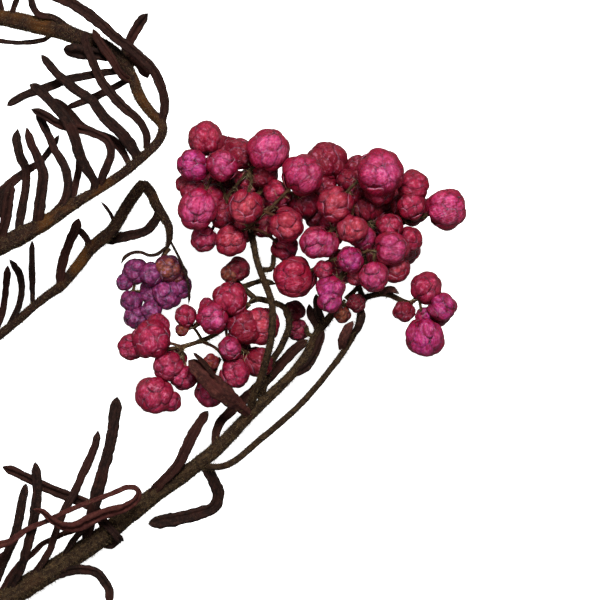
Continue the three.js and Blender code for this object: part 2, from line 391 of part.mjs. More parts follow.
// Leaves that follow one another up a stem at the golden angle and bend towards its tip.
function spiralLeaves(path, { from, to, count, length, width, turn, seed }) {
  const random = seededRandom(seed);
  const curve = curveThrough(path);
  return Array.from({ length: count }, (_, order) => {
    const share = THREE.MathUtils.lerp(from, to, order / (count - 1));
    const { point, along, across, facing } = frameAt(curve, share, UP);
    const angle = turn + order * GOLDEN_ANGLE;
    const outward = across.clone().multiplyScalar(Math.cos(angle)).addScaledVector(facing, Math.sin(angle));
    const reach = length * (0.85 + 0.3 * random());
    const lean = 0.75 + 0.3 * random();
    const points = SPIRAL_STEPS.map(([out, on]) => point.clone()
      .addScaledVector(outward, reach * out)
      .addScaledVector(along, reach * on * lean));
    const lowest = Math.min(LEAF_LOWEST, point.z);
    return { width, path: points.map((place) => [place.x, place.y, Math.max(place.z, lowest)]) };
  });
}

// A globe of lobes: the lobes stand at the corners of a plain solid, and creases join its face middles.
function lobedGlobe(plainSolid) {
  const corners = pointsOf(weld(plainSolid.clone()));
  const faces = pointsOf(plainSolid);
  const creases = [];
  for (let i = 0; i < faces.length; i += 3) {
    creases.push(faces[i].clone().add(faces[i + 1]).add(faces[i + 2]).normalize());
  }
  return { lobes: corners, shape: weld(new ConvexGeometry([...corners, ...creases])) };
}

function pointsOf(geometry) {
  const position = geometry.attributes.position;
  return Array.from({ length: position.count }, (_, i) => new THREE.Vector3().fromBufferAttribute(position, i));
}

const TWELVE_LOBES = lobedGlobe(new THREE.IcosahedronGeometry(1, 0));
const SIX_LOBES = lobedGlobe(new THREE.OctahedronGeometry(1, 0));

// A lumpy globe of lobes with creases between them, turned to point away from its fork.
function bud([x, y, z, radius, hidden = false], fork, random, grow) {
  const plain = hidden || radius < SMALL_BUD;
  const { lobes, shape: globe } = plain ? SIX_LOBES : TWELVE_LOBES;
  const crease = plain ? SMALL_LOBE_DEPTH : LOBE_DEPTH;
  const size = radius * (plain ? SMALL_BUD_FULLNESS : BUD_FULLNESS);
  const shape = globe.clone();
  const middle = new THREE.Vector3(x, y, z);
  const outward = middle.clone().sub(fork).normalize();
  const turn = new THREE.Quaternion().setFromUnitVectors(UP, outward);
  turn.multiply(new THREE.Quaternion().setFromAxisAngle(UP, random() * 2 * Math.PI));
  turn.multiply(new THREE.Quaternion().setFromAxisAngle(new THREE.Vector3(1, 0, 0), random() * 0.5));
  const position = shape.attributes.position;
  const point = new THREE.Vector3();
  for (let i = 0; i < position.count; i += 1) {
    point.fromBufferAttribute(position, i);
    const nearest = Math.max(...lobes.map((lobe) => point.dot(lobe)));
    point.multiplyScalar(size * (1 - crease * (1 - nearest)) + grow);
    point.z *= BUD_STRETCH;
    point.applyQuaternion(turn).add(middle);
    position.setXYZ(i, point.x, point.y, point.z);
  }
  return toSolid(shape);
}

// A thin straight stalk between two points.
function stalk(start, end, radius, sides, grow) {
  const size = () => radius;
  return sweep([start.toArray(), end.toArray()], sides, 1, size, size, grow);
}

// Buds on the hidden side of a head: a golden angle spiral over the lower half of an egg shape.
function hiddenBuds({ middle, reach, count, radius }, random) {
  return Array.from({ length: count }, (_, order) => {
    const rise = (order + 0.8) / (count + 0.6);
    const spread = Math.sqrt(1 - (1 - rise) ** 2);
    const angle = order * GOLDEN_ANGLE;
    return [middle[0] + reach[0] * spread * Math.cos(angle), middle[1] + reach[1] * spread * Math.sin(angle),
      middle[2] - reach[2] * (1 - rise), radius * (0.88 + 0.24 * random()), true];
  });
}

function nearestTo(point, places) {
  return places.reduce((best, place) => (place.distanceTo(point) < best.distanceTo(point) ? place : best));
}

// The start from which a stalk is short and passes through few other buds.
function clearestStart(end, starts, rows) {
  const cost = (start) => {
    const way = new THREE.Line3(start, end);
    const crossed = rows.filter(([x, y, z, radius]) => {
      const middle = new THREE.Vector3(x, y, z);
      const nearest = way.closestPointToPoint(middle, true, new THREE.Vector3());
      return middle.distanceTo(end) > 0 && middle.distanceTo(nearest) < radius;
    });
    return start.distanceTo(end) + DETOUR * crossed.length;
  };
  return starts.reduce((best, start) => (cost(start) < cost(best) ? start : best));
}

// All the stalks and buds of one head, ready to be fused.
// Each bud's stalk starts at the nearest fork, or where an earlier stalk may branch.
function headParts({ root, forks, buds, back, seed }, grow) {
  const random = seededRandom(seed);
  const places = [new THREE.Vector3(...root)];
  const parts = [];
  for (const fork of forks.map((point) => new THREE.Vector3(...point))) {
    parts.push(stalk(nearestTo(fork, places), fork, FORK_RADIUS, TWIG_SIDES, grow));
    places.push(fork);
  }
  const starts = places.slice(1);
  const rows = [...buds, ...back.flatMap((rule) => hiddenBuds(rule, random))];
  for (const row of rows) {
    const middle = new THREE.Vector3(...row.slice(0, 3));
    const start = clearestStart(middle, starts, rows);
    parts.push(stalk(start, middle, STALK_RADIUS, STALK_SIDES, grow));
    parts.push(bud(row, start, random, grow));
    starts.push(start.clone().lerp(middle, STALK_FORKS_AT));
  }
  return parts;
}

// All the stems, twigs and leaves of one leafy shoot, ready to be fused.
function shootParts({ axis, branches, leaves, spiral }, grow) {
  return [
    stem(axis, STEM_SIDES, grow),
    ...branches.map((branch) => stem(branch, TWIG_SIDES, grow)),
    ...leaves.map((row) => leaf(row, grow)),
    ...spiralLeaves(axis.path, spiral).map((row) => leaf(row, grow)),
  ];
}

// Fuses parts into one body, fills what the fusing seals and drops loose scraps.
function fuse(parts, name) {
  const whole = wasm.Manifold.union(parts).simplify(SMOOTH);
  return onePiece(whole, name);
}

function onePiece(whole, name) {
  const pieces = whole.decompose().filter((piece) => piece.volume() > SCRAP_VOLUME);
  if (pieces.length !== 1) throw new Error(`${name} falls into ${pieces.length} pieces`);
  return pieces[0];
}

// Everything below the surface that the branch lies on, which leaves small flat spots to rest on.
function belowSurface() {
  const size = 200;
  return toSolid(weld(new THREE.BoxGeometry(size, size, size).translate(0, 0, -size / 2)));
}

const SHOOTS = [
  {
    name: 'main_stem',
    axis: MAIN_AXIS,
    branches: [...PEDUNCLES, ...TWIGS],
    leaves: MAIN_LEAVES,
    spiral: MAIN_SPIRAL,
  },
  { name: 'curled_shoot', axis: CURLED_STEM, branches: [], leaves: CURLED_LEAVES, spiral: CURLED_SPIRAL },
  { name: 'budding_shoot', axis: BUDDING_STEM, branches: [], leaves: BUDDING_LEAVES, spiral: BUDDING_SPIRAL },
];

// Builds each piece, then cuts it clear of the pieces that were built before it.
function buildBranch() {
  const group = new THREE.Group();
  const rooms = [];
  const surface = belowSurface();
  const plans = [
    ...SHOOTS.map((plan) => ({ ...plan, colour: COLOURS.stem, parts: shootParts })),
    ...HEADS.map((plan) => ({ ...plan, parts: headParts })),
  ];
  for (const plan of plans) {
    const fused = fuse(plan.parts(plan, 0), plan.name);
    const clear = rooms.reduce((piece, room) => piece.subtract(room), fused).subtract(surface);
    const piece = onePiece(clear.simplify(SMOOTH), plan.name);
    rooms.push(wasm.Manifold.union(plan.parts(plan, GAP)));
    const material = new THREE.MeshStandardMaterial({ color: plan.colour, roughness: 0.7, metalness: 0 });
    const mesh = new THREE.Mesh(toGeometry(piece), material);
    mesh.name = plan.name;
    group.add(mesh);
  }
  group.position.set(-BOX_CENTRE[0], -BOX_CENTRE[1], 0);
  return group;
}

export default buildBranch();
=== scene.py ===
"""Dried rice flower: the looks of one forked cut branch that lies on a surface.

The route of every stem, leaf and bud is measured in millimetres from the lower left corner of the
measured square, with Z as the height above the surface. It is turned into metres round the middle
of the whole branch as each piece is built. Every mesh, name and finish here belongs to the plant.
"""

import logging
import math
import random
from dataclasses import dataclass, field
from enum import Enum
from typing import Any, Iterable, Sequence

import bpy
import numpy as np
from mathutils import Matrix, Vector


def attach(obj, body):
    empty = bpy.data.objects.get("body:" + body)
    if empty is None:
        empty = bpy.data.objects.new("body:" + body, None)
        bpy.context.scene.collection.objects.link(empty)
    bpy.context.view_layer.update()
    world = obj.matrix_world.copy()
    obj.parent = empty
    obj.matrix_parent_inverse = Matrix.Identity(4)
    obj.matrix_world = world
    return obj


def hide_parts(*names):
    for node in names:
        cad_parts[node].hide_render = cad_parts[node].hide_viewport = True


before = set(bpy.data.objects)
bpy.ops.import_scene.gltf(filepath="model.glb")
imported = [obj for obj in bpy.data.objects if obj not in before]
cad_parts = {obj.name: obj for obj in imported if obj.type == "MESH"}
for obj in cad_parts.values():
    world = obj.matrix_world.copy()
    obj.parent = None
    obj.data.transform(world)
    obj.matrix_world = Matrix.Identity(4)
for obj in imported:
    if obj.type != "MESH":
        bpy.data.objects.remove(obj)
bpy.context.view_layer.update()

log = logging.getLogger("rice_flower")

MM = 0.001
BOX_CENTRE = (7.38, 21.5, 0.0)
GOLDEN_ANGLE = math.pi * (3 - math.sqrt(5))
FLOOR_CLEARANCE = 0.00003
SAMPLES_PER_SPAN = 24
PATTERN_PER_MM = 0.35
CORE_SIZE = 0.93
# The way up that the core carries, which gives it the painted shade of a bract's base.
CORE_UP = -0.8
BODY = "root"

Point = Sequence[float]
Socket = Any


class Tone(Enum):
    """What the papery bracts dried to: the body colour of a bud, and a warmer colour painted on it as a glow
    of light.
    """

    CRIMSON = ("#880626", "#c42c54")
    PINK = ("#980a3c", "#d84884")
    CORAL = ("#8e082c", "#d84c5c")
    MAGENTA = ("#9c0c54", "#d23e8c")
    # Maroon is partly a real darker tone and partly painted shade: it goes to buds that sit low and behind in
    # a head, and to the hidden buds on a head's back.
    MAROON = ("#660418", "#84102a")
    RASPBERRY = ("#84082f", "#c43460")
    PURPLE = ("#881c5c", "#ac4880")
    WITHERED = ("#70260f", "#9c5432")


CRIMSON, PINK, CORAL, MAGENTA, MAROON, RASPBERRY, PURPLE, WITHERED = Tone


class LeafForm(Enum):
    """How a leaf dried: its margins rolled under, or flat and broad."""

    ROLLED = "rolled_leaf_section"
    FLAT = "flat_leaf_section"


def linear(colour: str) -> tuple[float, float, float, float]:
    """Turns a written screen colour into the linear one that shaders mix.

    Args:
        colour: a hash sign and six hexadecimal digits.

    Returns:
        Red, green, blue and full opacity.
    """
    shares = [int(colour[i:i + 2], 16) / 255 for i in (1, 3, 5)]
    red, green, blue = (c / 12.92 if c <= 0.04045 else ((c + 0.055) / 1.055) ** 2.4 for c in shares)
    return red, green, blue, 1.0


def along_row(values: Sequence[float], share: np.ndarray) -> np.ndarray:
    """Reads a row of evenly spaced values at shares of the way along it."""
    return np.interp(share, np.linspace(0, 1, len(values)), values)


def placed(points: Iterable[Point]) -> np.ndarray:
    """Turns measured millimetres into metres round the middle of the branch."""
    return (np.array(list(points), float)[:, :3] - BOX_CENTRE) * MM


def route(path: Sequence[Point], step: float) -> np.ndarray:
    """Samples the smooth curve through measured points.

    Args:
        path: points in millimetres, at least two.
        step: the wanted distance between samples, in millimetres.

    Returns:
        Samples in metres, evenly spaced along the curve, both ends included.
    """
    points = placed(path)
    points = np.vstack([2 * points[0] - points[1], points, 2 * points[-1] - points[-2]])
    fine = []
    for p0, p1, p2, p3 in zip(points, points[1:], points[2:], points[3:]):
        knots = np.cumsum([0.0] + [np.linalg.norm(b - a) ** 0.5 for a, b in ((p0, p1), (p1, p2), (p2, p3))])
        t = np.linspace(knots[1], knots[2], SAMPLES_PER_SPAN, endpoint=False)[:, None]
        a1, a2, a3 = (((k1 - t) * a + (t - k0) * b) / (k1 - k0)
                      for a, b, k0, k1 in zip((p0, p1, p2), (p1, p2, p3), knots, knots[1:]))
        b1 = ((knots[2] - t) * a1 + (t - knots[0]) * a2) / (knots[2] - knots[0])
        b2 = ((knots[3] - t) * a2 + (t - knots[1]) * a3) / (knots[3] - knots[1])
        fine.append(((knots[2] - t) * b1 + (t - knots[1]) * b2) / (knots[2] - knots[1]))
    fine = np.vstack([*fine, points[-2:-1]])
    along = np.concatenate([[0.0], np.cumsum(np.linalg.norm(np.diff(fine, axis=0), axis=1))])
    count = max(3, round(along[-1] / (step * MM)) + 1)
    wanted = np.linspace(0, along[-1], count)
    return np.stack([np.interp(wanted, along, fine[:, axis]) for axis in range(3)], axis=1)


class NodeTree:
    """Adds nodes to a tree and links them, so that building a tree reads as a list of steps."""

    def __init__(self, tree: bpy.types.NodeTree) -> None:
        """Takes over a tree, which may already hold nodes."""
        self.tree = tree

    def add(self, kind: str, inputs: dict[int | str, Any] | None = None, **settings: Any) -> bpy.types.Node:
        """Adds one node.

        Args:
            kind: the node's type name.
            inputs: what each input takes, by its number or name: an output socket or a plain value.
            settings: the node's own options.

        Returns:
            The new node.
        """
        node = self.tree.nodes.new(kind)
        for name, value in settings.items():
            setattr(node, name, value)
        for key, value in (inputs or {}).items():
            if isinstance(value, bpy.types.NodeSocket):
                self.tree.links.new(value, node.inputs[key])
            else:
                node.inputs[key].default_value = value
        return node

    def math(self, operation: str, a: Any, b: Any = 0.0, c: Any = 0.0) -> Socket:
        """Adds a sum on plain numbers and returns its result."""
        return self.add("ShaderNodeMath", {0: a, 1: b, 2: c}, operation=operation).outputs[0]

    def vector(self, operation: str, a: Any, b: Any = (0.0, 0.0, 0.0), out: int = 0) -> Socket:
        """Adds a sum on vectors and returns its result, or its number when out is 1."""
        return self.add("ShaderNodeVectorMath", {0: a, 1: b}, operation=operation).outputs[out]

    def scaled(self, a: Any, factor: Any) -> Socket:
        """Multiplies a vector by a number."""
        return self.add("ShaderNodeVectorMath", {0: a, 3: factor}, operation="SCALE").outputs[0]

    def mixed(self, factor: Any, a: Any, b: Any) -> Socket:
        """Blends two colours."""
        return self.add("ShaderNodeMix", {0: factor, 6: a, 7: b}, data_type="RGBA").outputs[2]

    def ranged(self, value: Any, low: float, high: float, to_low: float = 0.0,
               to_high: float = 1.0) -> Socket:
        """Stretches the stretch between two values over another, smoothly and no further."""
        inputs = {0: value, 1: low, 2: high, 3: to_low, 4: to_high}
        return self.add("ShaderNodeMapRange", inputs, interpolation_type="SMOOTHSTEP").outputs[0]

    def noise(self, vector: Any, scale: Any, detail: float = 3.0) -> bpy.types.Node:
        """Adds a cloudy noise."""
        return self.add("ShaderNodeTexNoise", {"Vector": vector, "Scale": scale, "Detail": detail})


class Growth(NodeTree):
    """A Geometry Nodes tree that grows repeats, with named inputs for its sizes."""

    def __init__(self, name: str, inputs: dict[str, str]) -> None:
        """Starts a tree.

        Args:
            name: the tree's name.
            inputs: each input's name and its kind of socket, without the common first word.
        """
        super().__init__(bpy.data.node_groups.new(name, "GeometryNodeTree"))
        self.tree.interface.new_socket("Geometry", in_out="INPUT", socket_type="NodeSocketGeometry")
        for label, kind in inputs.items():
            self.tree.interface.new_socket(label, in_out="INPUT", socket_type=f"NodeSocket{kind}")
        self.tree.interface.new_socket("Geometry", in_out="OUTPUT", socket_type="NodeSocketGeometry")
        self.given = self.add("NodeGroupInput").outputs
        self.position = self.add("GeometryNodeInputPosition").outputs[0]

    def named(self, name: str, kind: str = "FLOAT") -> Socket:
        """Reads a value that the mesh carries."""
        return self.add("GeometryNodeInputNamedAttribute", {0: name}, data_type=kind).outputs[0]

    def stored(self, geometry: Socket, name: str, value: Any, kind: str = "FLOAT") -> Socket:
        """Writes a value on each point of the geometry."""
        inputs = {0: geometry, 2: name, 3: value}
        return self.add("GeometryNodeStoreNamedAttribute", inputs, data_type=kind, domain="POINT").outputs[0]

    def chance(self, low: float, high: float, seed: int) -> Socket:
        """A random number for each point."""
        return self.add("FunctionNodeRandomValue", {2: low, 3: high, 8: seed}, data_type="FLOAT").outputs[1]

    def tilt(self, most: Any, seed: int) -> Socket:
        """A random small turn for each point, of at most so many radians about each axis."""
        unit = self.add("FunctionNodeRandomValue", {0: (-1.0,) * 3, 1: (1.0,) * 3, 8: seed},
                        data_type="FLOAT_VECTOR").outputs[0]
        return self.add("FunctionNodeEulerToRotation", {0: self.scaled(unit, most)}).outputs[0]

    def turned(self, rotation: Socket, by: Socket) -> Socket:
        """Turns a rotation further, about its own axes."""
        return self.add("FunctionNodeRotateRotation", {0: rotation, 1: by}, rotation_space="LOCAL").outputs[0]

    def finished(self, geometry: Socket) -> None:
        """Makes real geometry of the repeats, above the surface, and gives it its finish.

        Args:
            geometry: the repeats.
        """
        real = self.add("GeometryNodeRealizeInstances", {0: geometry}).outputs[0]
        parts = self.add("ShaderNodeSeparateXYZ", {0: self.position}).outputs
        height = self.math("MAXIMUM", parts[2], FLOOR_CLEARANCE)
        above = self.add("ShaderNodeCombineXYZ", {0: parts[0], 1: parts[1], 2: height}).outputs[0]
        clear = self.add("GeometryNodeSetPosition", {0: real, 2: above}).outputs[0]
        smooth = self.add("GeometryNodeSetShadeSmooth", {0: clear}).outputs[0]
        dressed = self.add("GeometryNodeSetMaterial", {0: smooth, 2: self.given["Finish"]}).outputs[0]
        self.add("NodeGroupOutput", {0: dressed})

    def grow(self, name: str, seedbed: bpy.types.Mesh, **inputs: Any) -> bpy.types.Object:
        """Runs the tree on a mesh and keeps the result as a plain mesh.

        Args:
            name: the name of the finished piece.
            seedbed: the mesh that the tree starts from.
            inputs: the tree's inputs, with underscores for the spaces in their names.

        Returns:
            An object at the origin that holds the plain mesh, with no modifier left on it.
        """
        piece = bpy.data.objects.new(name, seedbed)
        bpy.context.scene.collection.objects.link(piece)
        modifier = piece.modifiers.new("growth", "NODES")
        modifier.node_group = self.tree
        sockets = {item.name: item.identifier for item in self.tree.interface.items_tree
                   if item.in_out == "INPUT"}
        for label, value in inputs.items():
            modifier[sockets[label.replace("_", " ")]] = value
        seen = bpy.context.evaluated_depsgraph_get()
        grown = bpy.data.meshes.new_from_object(piece.evaluated_get(seen), depsgraph=seen)
        piece.modifiers.remove(modifier)
        piece.data = grown
        grown.name = name
        return piece


class Shading(NodeTree):
    """A material under construction."""

    def __init__(self, name: str) -> None:
        """Starts a material that holds only its surface shader."""
        self.material = bpy.data.materials.new(name)
        self.material.use_nodes = True
        super().__init__(self.material.node_tree)
        self.surface = self.tree.nodes["Principled BSDF"]
        self.place = self.add("ShaderNodeTexCoord").outputs["Object"]

    def carried(self, name: str) -> bpy.types.Node:
        """Reads a value or colour that the mesh carries."""
        return self.add("ShaderNodeAttribute", attribute_name=name)

    def group(self, tree: bpy.types.NodeTree, inputs: dict[str, Any]) -> Any:
        """Places a shared effect with its own values.

        Args:
            tree: the effect.
            inputs: a value or socket for each of its inputs.

        Returns:
            Its outputs.
        """
        node = self.add("ShaderNodeGroup", node_tree=tree)
        for name, value in inputs.items():
            if isinstance(value, bpy.types.NodeSocket):
                self.tree.links.new(value, node.inputs[name])
            else:
                node.inputs[name].default_value = value
        return node.outputs

    def relief(self, height: Socket, depth: float) -> None:
        """Lets a height stand out of the surface, by a depth in millimetres."""
        inputs = {"Height": height, "Distance": depth * MM, "Strength": 1.0}
        self.tree.links.new(self.add("ShaderNodeBump", inputs).outputs[0], self.surface.inputs["Normal"])

    def set(self, **inputs: Any) -> bpy.types.Material:
        """Sets or links the surface shader's inputs.

        Args:
            inputs: a value or socket for each input, by its name with underscores for spaces.

        Returns:
            The material.
        """
        for label, value in inputs.items():
            socket = self.surface.inputs[label.replace("_", " ")]
            if isinstance(value, bpy.types.NodeSocket):
                self.tree.links.new(value, socket)
            else:
                socket.default_value = value
        return self.material


class SharedEffects:
    """Shader node groups that more than one finish uses, each built once."""

    def __init__(self) -> None:
        """Builds the groups."""
        self.wool = self._wool()
        self.fibres = self._fibres()

    @staticmethod
    def _group(name: str, inputs: dict[str, str],
               outputs: dict[str, str]) -> tuple[NodeTree, Any, bpy.types.Node]:
        """Starts a group.

        Args:
            name: the group's name.
            inputs: each input's name and kind of socket.
            outputs: each output's name and kind of socket.

        Returns:
            The tree, its inputs, and the node that takes its outputs.
        """
        tree = bpy.data.node_groups.new(name, "ShaderNodeTree")
        for way, sockets in (("INPUT", inputs), ("OUTPUT", outputs)):
            for label, kind in sockets.items():
                tree.interface.new_socket(label, in_out=way, socket_type=f"NodeSocket{kind}")
        build = NodeTree(tree)
        return build, build.add("NodeGroupInput").outputs, build.add("NodeGroupOutput")

    def _wool(self) -> bpy.types.NodeTree:
        """Matted wool: clumps of pale down over a dark skin, and the height of both.

        Returns:
            The group.
        """
        build, given, out = self._group(
            "matted_wool",
            {"Place": "Vector", "Clump Scale": "Float", "Skin": "Color", "Down": "Color", "Cover": "Float"},
            {"Color": "Color", "Height": "Float"})
        clumps = build.noise(given["Place"], given["Clump Scale"], 4.0).outputs[0]
        finer = build.math("MULTIPLY", given["Clump Scale"], 6.0)
        strands = build.noise(given["Place"], finer, 2.0).outputs[0]
        both = build.math("ADD", build.math("MULTIPLY", clumps, 0.6), build.math("MULTIPLY", strands, 0.4))
        shown = build.math("MULTIPLY", build.ranged(both, 0.42, 0.66), given["Cover"])
        build.tree.links.new(build.mixed(shown, given["Skin"], given["Down"]), out.inputs["Color"])
        build.tree.links.new(both, out.inputs["Height"])
        return build.tree

    def _fibres(self) -> bpy.types.NodeTree:
        """Fine fibres that run the long way of a bract or leaf.

        Returns:
            The group.
        """
        build, given, out = self._group(
            "dry_fibres",
            {"Across": "Float", "Up": "Float", "Chance": "Float", "Count": "Float"},
            {"Mask": "Float"})
        across = build.math("MULTIPLY", given["Across"], given["Count"])
        offset = build.math("MULTIPLY", given["Chance"], 37.0)
        point = build.add("ShaderNodeCombineXYZ", {0: across, 1: given["Up"], 2: offset}).outputs[0]
        streaks = build.noise(point, 1.0, 3.0).outputs[0]
        build.tree.links.new(build.ranged(streaks, 0.38, 0.64), out.inputs["Mask"])
        return build.tree


@dataclass(frozen=True)
class BractFinish:
    """Papery bract: a satin mottled skin with fibres and a pale dry margin, with painted light and painted
    shade.

    A painted glow and pale mottle lie where each bud faces up; painted shade lies at each bract's base and
    sides and on the underside of each bud. Each share says how far one effect turns the colour towards the
    dark colour, which serves both the mottle and the painted shade, or towards the margin colour.
    """

    name: str
    margin: str
    mottle_and_shade: str
    margin_share: float = 0.42
    seam_shade_share: float = 0.4
    chance_share: float = 0.4
    fibre_share: float = 0.3
    dark_cloud_share: float = 0.65
    pale_cloud_share: float = 0.5
    foot_shade_share: float = 0.45
    underside_shade_share: float = 0.8
    outer_heart: float = 0.6
    fibre_count: float = 9.0
    mottle_scale: float = 2700.0
    grain_scale: float = 2600.0
    relief: float = 0.07
    gleam: float = 0.25
    glow: float = 0.45
    glow_reach: float = 0.8
    glow_colours: tuple[float, float, float] = (1.0, 0.12, 0.2)

    def material(self, effects: SharedEffects) -> bpy.types.Material:
        """Builds the finish from the colours that each bud carries.

        Args:
            effects: the shared effects.

        Returns:
            The material.
        """
        shade = Shading(self.name)
        margin, mottle_and_shade = linear(self.margin), linear(self.mottle_and_shade)
        tint, heart = (shade.carried(name).outputs["Color"] for name in ("tint", "heart"))
        across, up, chance, order, rise = (shade.carried(name).outputs["Fac"]
                                           for name in ("across", "up", "chance", "order", "rise"))
        fibres = shade.group(effects.fibres, {"Across": across, "Up": up, "Chance": chance,
                                              "Count": self.fibre_count})["Mask"]
        clouds = shade.noise(shade.place, self.mottle_scale, 4.0).outputs[0]
        # Painted light: where the bud faces up, and most on its inner bracts, the colour turns towards the
        # tone's warmer colour as a painted glow.
        painted_top_light = shade.ranged(rise, 0.45, 1.0)
        painted_glow_mask = shade.math("MULTIPLY", painted_top_light, shade.ranged(order, 0.9, 0.1, self.outer_heart, 1.0))
        colour = shade.mixed(painted_glow_mask, tint, heart)
        colour = shade.mixed(shade.math("MULTIPLY", chance, self.chance_share), colour, mottle_and_shade)
        colour = shade.mixed(shade.math("MULTIPLY", fibres, self.fibre_share), colour, mottle_and_shade)
        colour = shade.mixed(shade.ranged(clouds, 0.53, 0.36, 0.0, self.dark_cloud_share), colour, mottle_and_shade)
        # Partly the bract's own pale mottle and partly painted highlight: the pale mottle shows only where
        # the bud faces up.
        pale = shade.math("MULTIPLY", painted_top_light, self.pale_cloud_share)
        colour = shade.mixed(shade.math("MULTIPLY", shade.ranged(clouds, 0.52, 0.68), pale), colour, margin)
        # Painted shade: darker at each bract's base, where it tucks under the bracts round it, and on the
        # underside of each bud.
        foot_shade = shade.ranged(up, -0.8, 0.1, self.foot_shade_share, 0.0)
        under = shade.math("MAXIMUM", foot_shade, shade.ranged(rise, 0.8, 0.05, 0.0, self.underside_shade_share))
        colour = shade.mixed(under, colour, mottle_and_shade)
        rim = shade.math("ADD", shade.math("POWER", across, 2.0), shade.math("POWER", up, 2.0))
        # Painted shade: darker towards each bract's edge, next to the seams between bracts.
        colour = shade.mixed(shade.ranged(rim, 0.2, 0.85, 0.0, self.seam_shade_share), colour, mottle_and_shade)
        edge = shade.math("MULTIPLY", shade.ranged(rim, 0.76, 0.95), self.margin_share)
        grain = shade.noise(shade.place, self.grain_scale, 2.0).outputs[0]
        shade.relief(shade.math("ADD", shade.math("ADD", fibres, grain), clouds), self.relief)
        return shade.set(Base_Color=shade.mixed(edge, colour, margin),
                         Roughness=shade.ranged(grain, 0.3, 0.7, 0.38, 0.58), Specular_IOR_Level=self.gleam,
                         Subsurface_Weight=self.glow, Subsurface_Scale=self.glow_reach * MM,
                         Subsurface_Radius=self.glow_colours)


@dataclass(frozen=True)
class WoolFinish:
    """Woolly bark or leaf: a dark skin under matted down, with patches of another colour."""

    name: str
    skin: str
    down: str
    patch: str
    clump_scale: float = 1900.0
    cover: float = 0.8
    patch_share: float = 0.5
    own_share: float = 0.5
    relief: float = 0.09
    patch_scale: float = 260.0
    fibre_count: float = 4.0
    fibre_share: float = 0.45
    gleam: float = 0.12

    def material(self, effects: SharedEffects) -> bpy.types.Material:
        """Builds the finish.

        Args:
            effects: the shared effects.

        Returns:
            The material.
        """
        shade = Shading(self.name)
        wool = shade.group(effects.wool, {"Place": shade.place, "Clump Scale": self.clump_scale,
                                          "Skin": linear(self.skin), "Down": linear(self.down),
                                          "Cover": self.cover})
        fibres = shade.group(effects.fibres, {"Across": shade.carried("across").outputs["Fac"],
                                              "Up": shade.carried("up").outputs["Fac"],
                                              "Chance": shade.carried("chance").outputs["Fac"],
                                              "Count": self.fibre_count})["Mask"]
        spots = shade.ranged(shade.noise(shade.place, self.patch_scale, 2.0).outputs[0], 0.5, 0.68)
        skin, patch = linear(self.skin), linear(self.patch)
        patched = shade.mixed(shade.math("MULTIPLY", spots, self.patch_share), wool["Color"], patch)
        own = shade.ranged(shade.carried("chance").outputs["Fac"], 0.55, 1.0, 0.0, self.own_share)
        patched = shade.mixed(own, patched, patch)
        worn = shade.mixed(shade.math("MULTIPLY", fibres, self.fibre_share), patched, skin)
        shade.relief(shade.math("ADD", wool["Height"], shade.math("MULTIPLY", fibres, -0.25)), self.relief)
        return shade.set(Base_Color=worn, Roughness=shade.ranged(wool["Height"], 0.3, 0.7, 0.92, 0.7),
                         Specular_IOR_Level=self.gleam)


@dataclass(frozen=True)
class HairFinish:
    """Down: pale hairs that are darker at the root."""

    name: str
    root: str
    tip: str

    def material(self) -> bpy.types.Material:
        """Builds the finish from how far up its hair each point lies.

        Returns:
            The material.
        """
        shade = Shading(self.name)
        along = shade.math("MULTIPLY", shade.carried("up").outputs["Fac"],
                           shade.carried("chance").outputs["Fac"])
        colour = shade.mixed(shade.ranged(along, 0.0, 0.7), linear(self.root), linear(self.tip))
        return shade.set(Base_Color=colour, Roughness=shade.ranged(along, 0.0, 1.0, 0.8, 0.6))


@dataclass(frozen=True)
class CutWoodFinish:
    """The sawn end of the stem: pale wood in rings round a dark pith, inside the bark."""

    name: str = "cut_wood"
    wood: str = "#b89a6a"
    grain: str = "#7c5c36"
    pith: str = "#4a3322"
    ring_turns: float = 46.0
    saw_scale: float = 5200.0
    relief: float = 0.06

    def material(self) -> bpy.types.Material:
        """Builds the finish from each point's share of the way from the pith to the bark.

        Returns:
            The material.
        """
        shade = Shading(self.name)
        out = shade.carried("up").outputs["Fac"]
        rings = shade.math("SINE", shade.math("MULTIPLY", out, self.ring_turns))
        saw = shade.noise(shade.place, self.saw_scale, 3.0).outputs[0]
        ringed = shade.mixed(shade.ranged(rings, -0.6, 1.0, 0.1, 0.7), linear(self.wood), linear(self.grain))
        rough = shade.mixed(shade.ranged(saw, 0.45, 0.7, 0.0, 0.6), ringed, linear(self.grain))
        colour = shade.mixed(shade.ranged(out, 0.14, 0.24, 1.0, 0.0), rough, linear(self.pith))
        shade.relief(saw, self.relief)
        return shade.set(Base_Color=colour, Roughness=0.85)


@dataclass(frozen=True)
class SurfaceFinish:
    """The pale paper that the branch lies on."""

    name: str = "pale_paper"
    colour: str = "#f6f6f5"
    bounce: str = "#808080"
    glow: float = 1.05

    def material(self) -> bpy.types.Material:
        """Builds the finish: white to the camera, and dull grey to the light that it sends back.

        Returns:
            The material.
        """
        shade = Shading(self.name)
        grain = shade.noise(shade.place, 900.0, 3.0).outputs[0]
        seen = shade.add("ShaderNodeLightPath").outputs["Is Camera Ray"]
        colour = shade.mixed(seen, linear(self.bounce), linear(self.colour))
        light = shade.mixed(seen, (0.0, 0.0, 0.0, 1.0), linear(self.colour))
        return shade.set(Base_Color=colour, Roughness=shade.ranged(grain, 0.0, 1.0, 0.85, 0.95),
                         Emission_Color=light, Emission_Strength=self.glow)


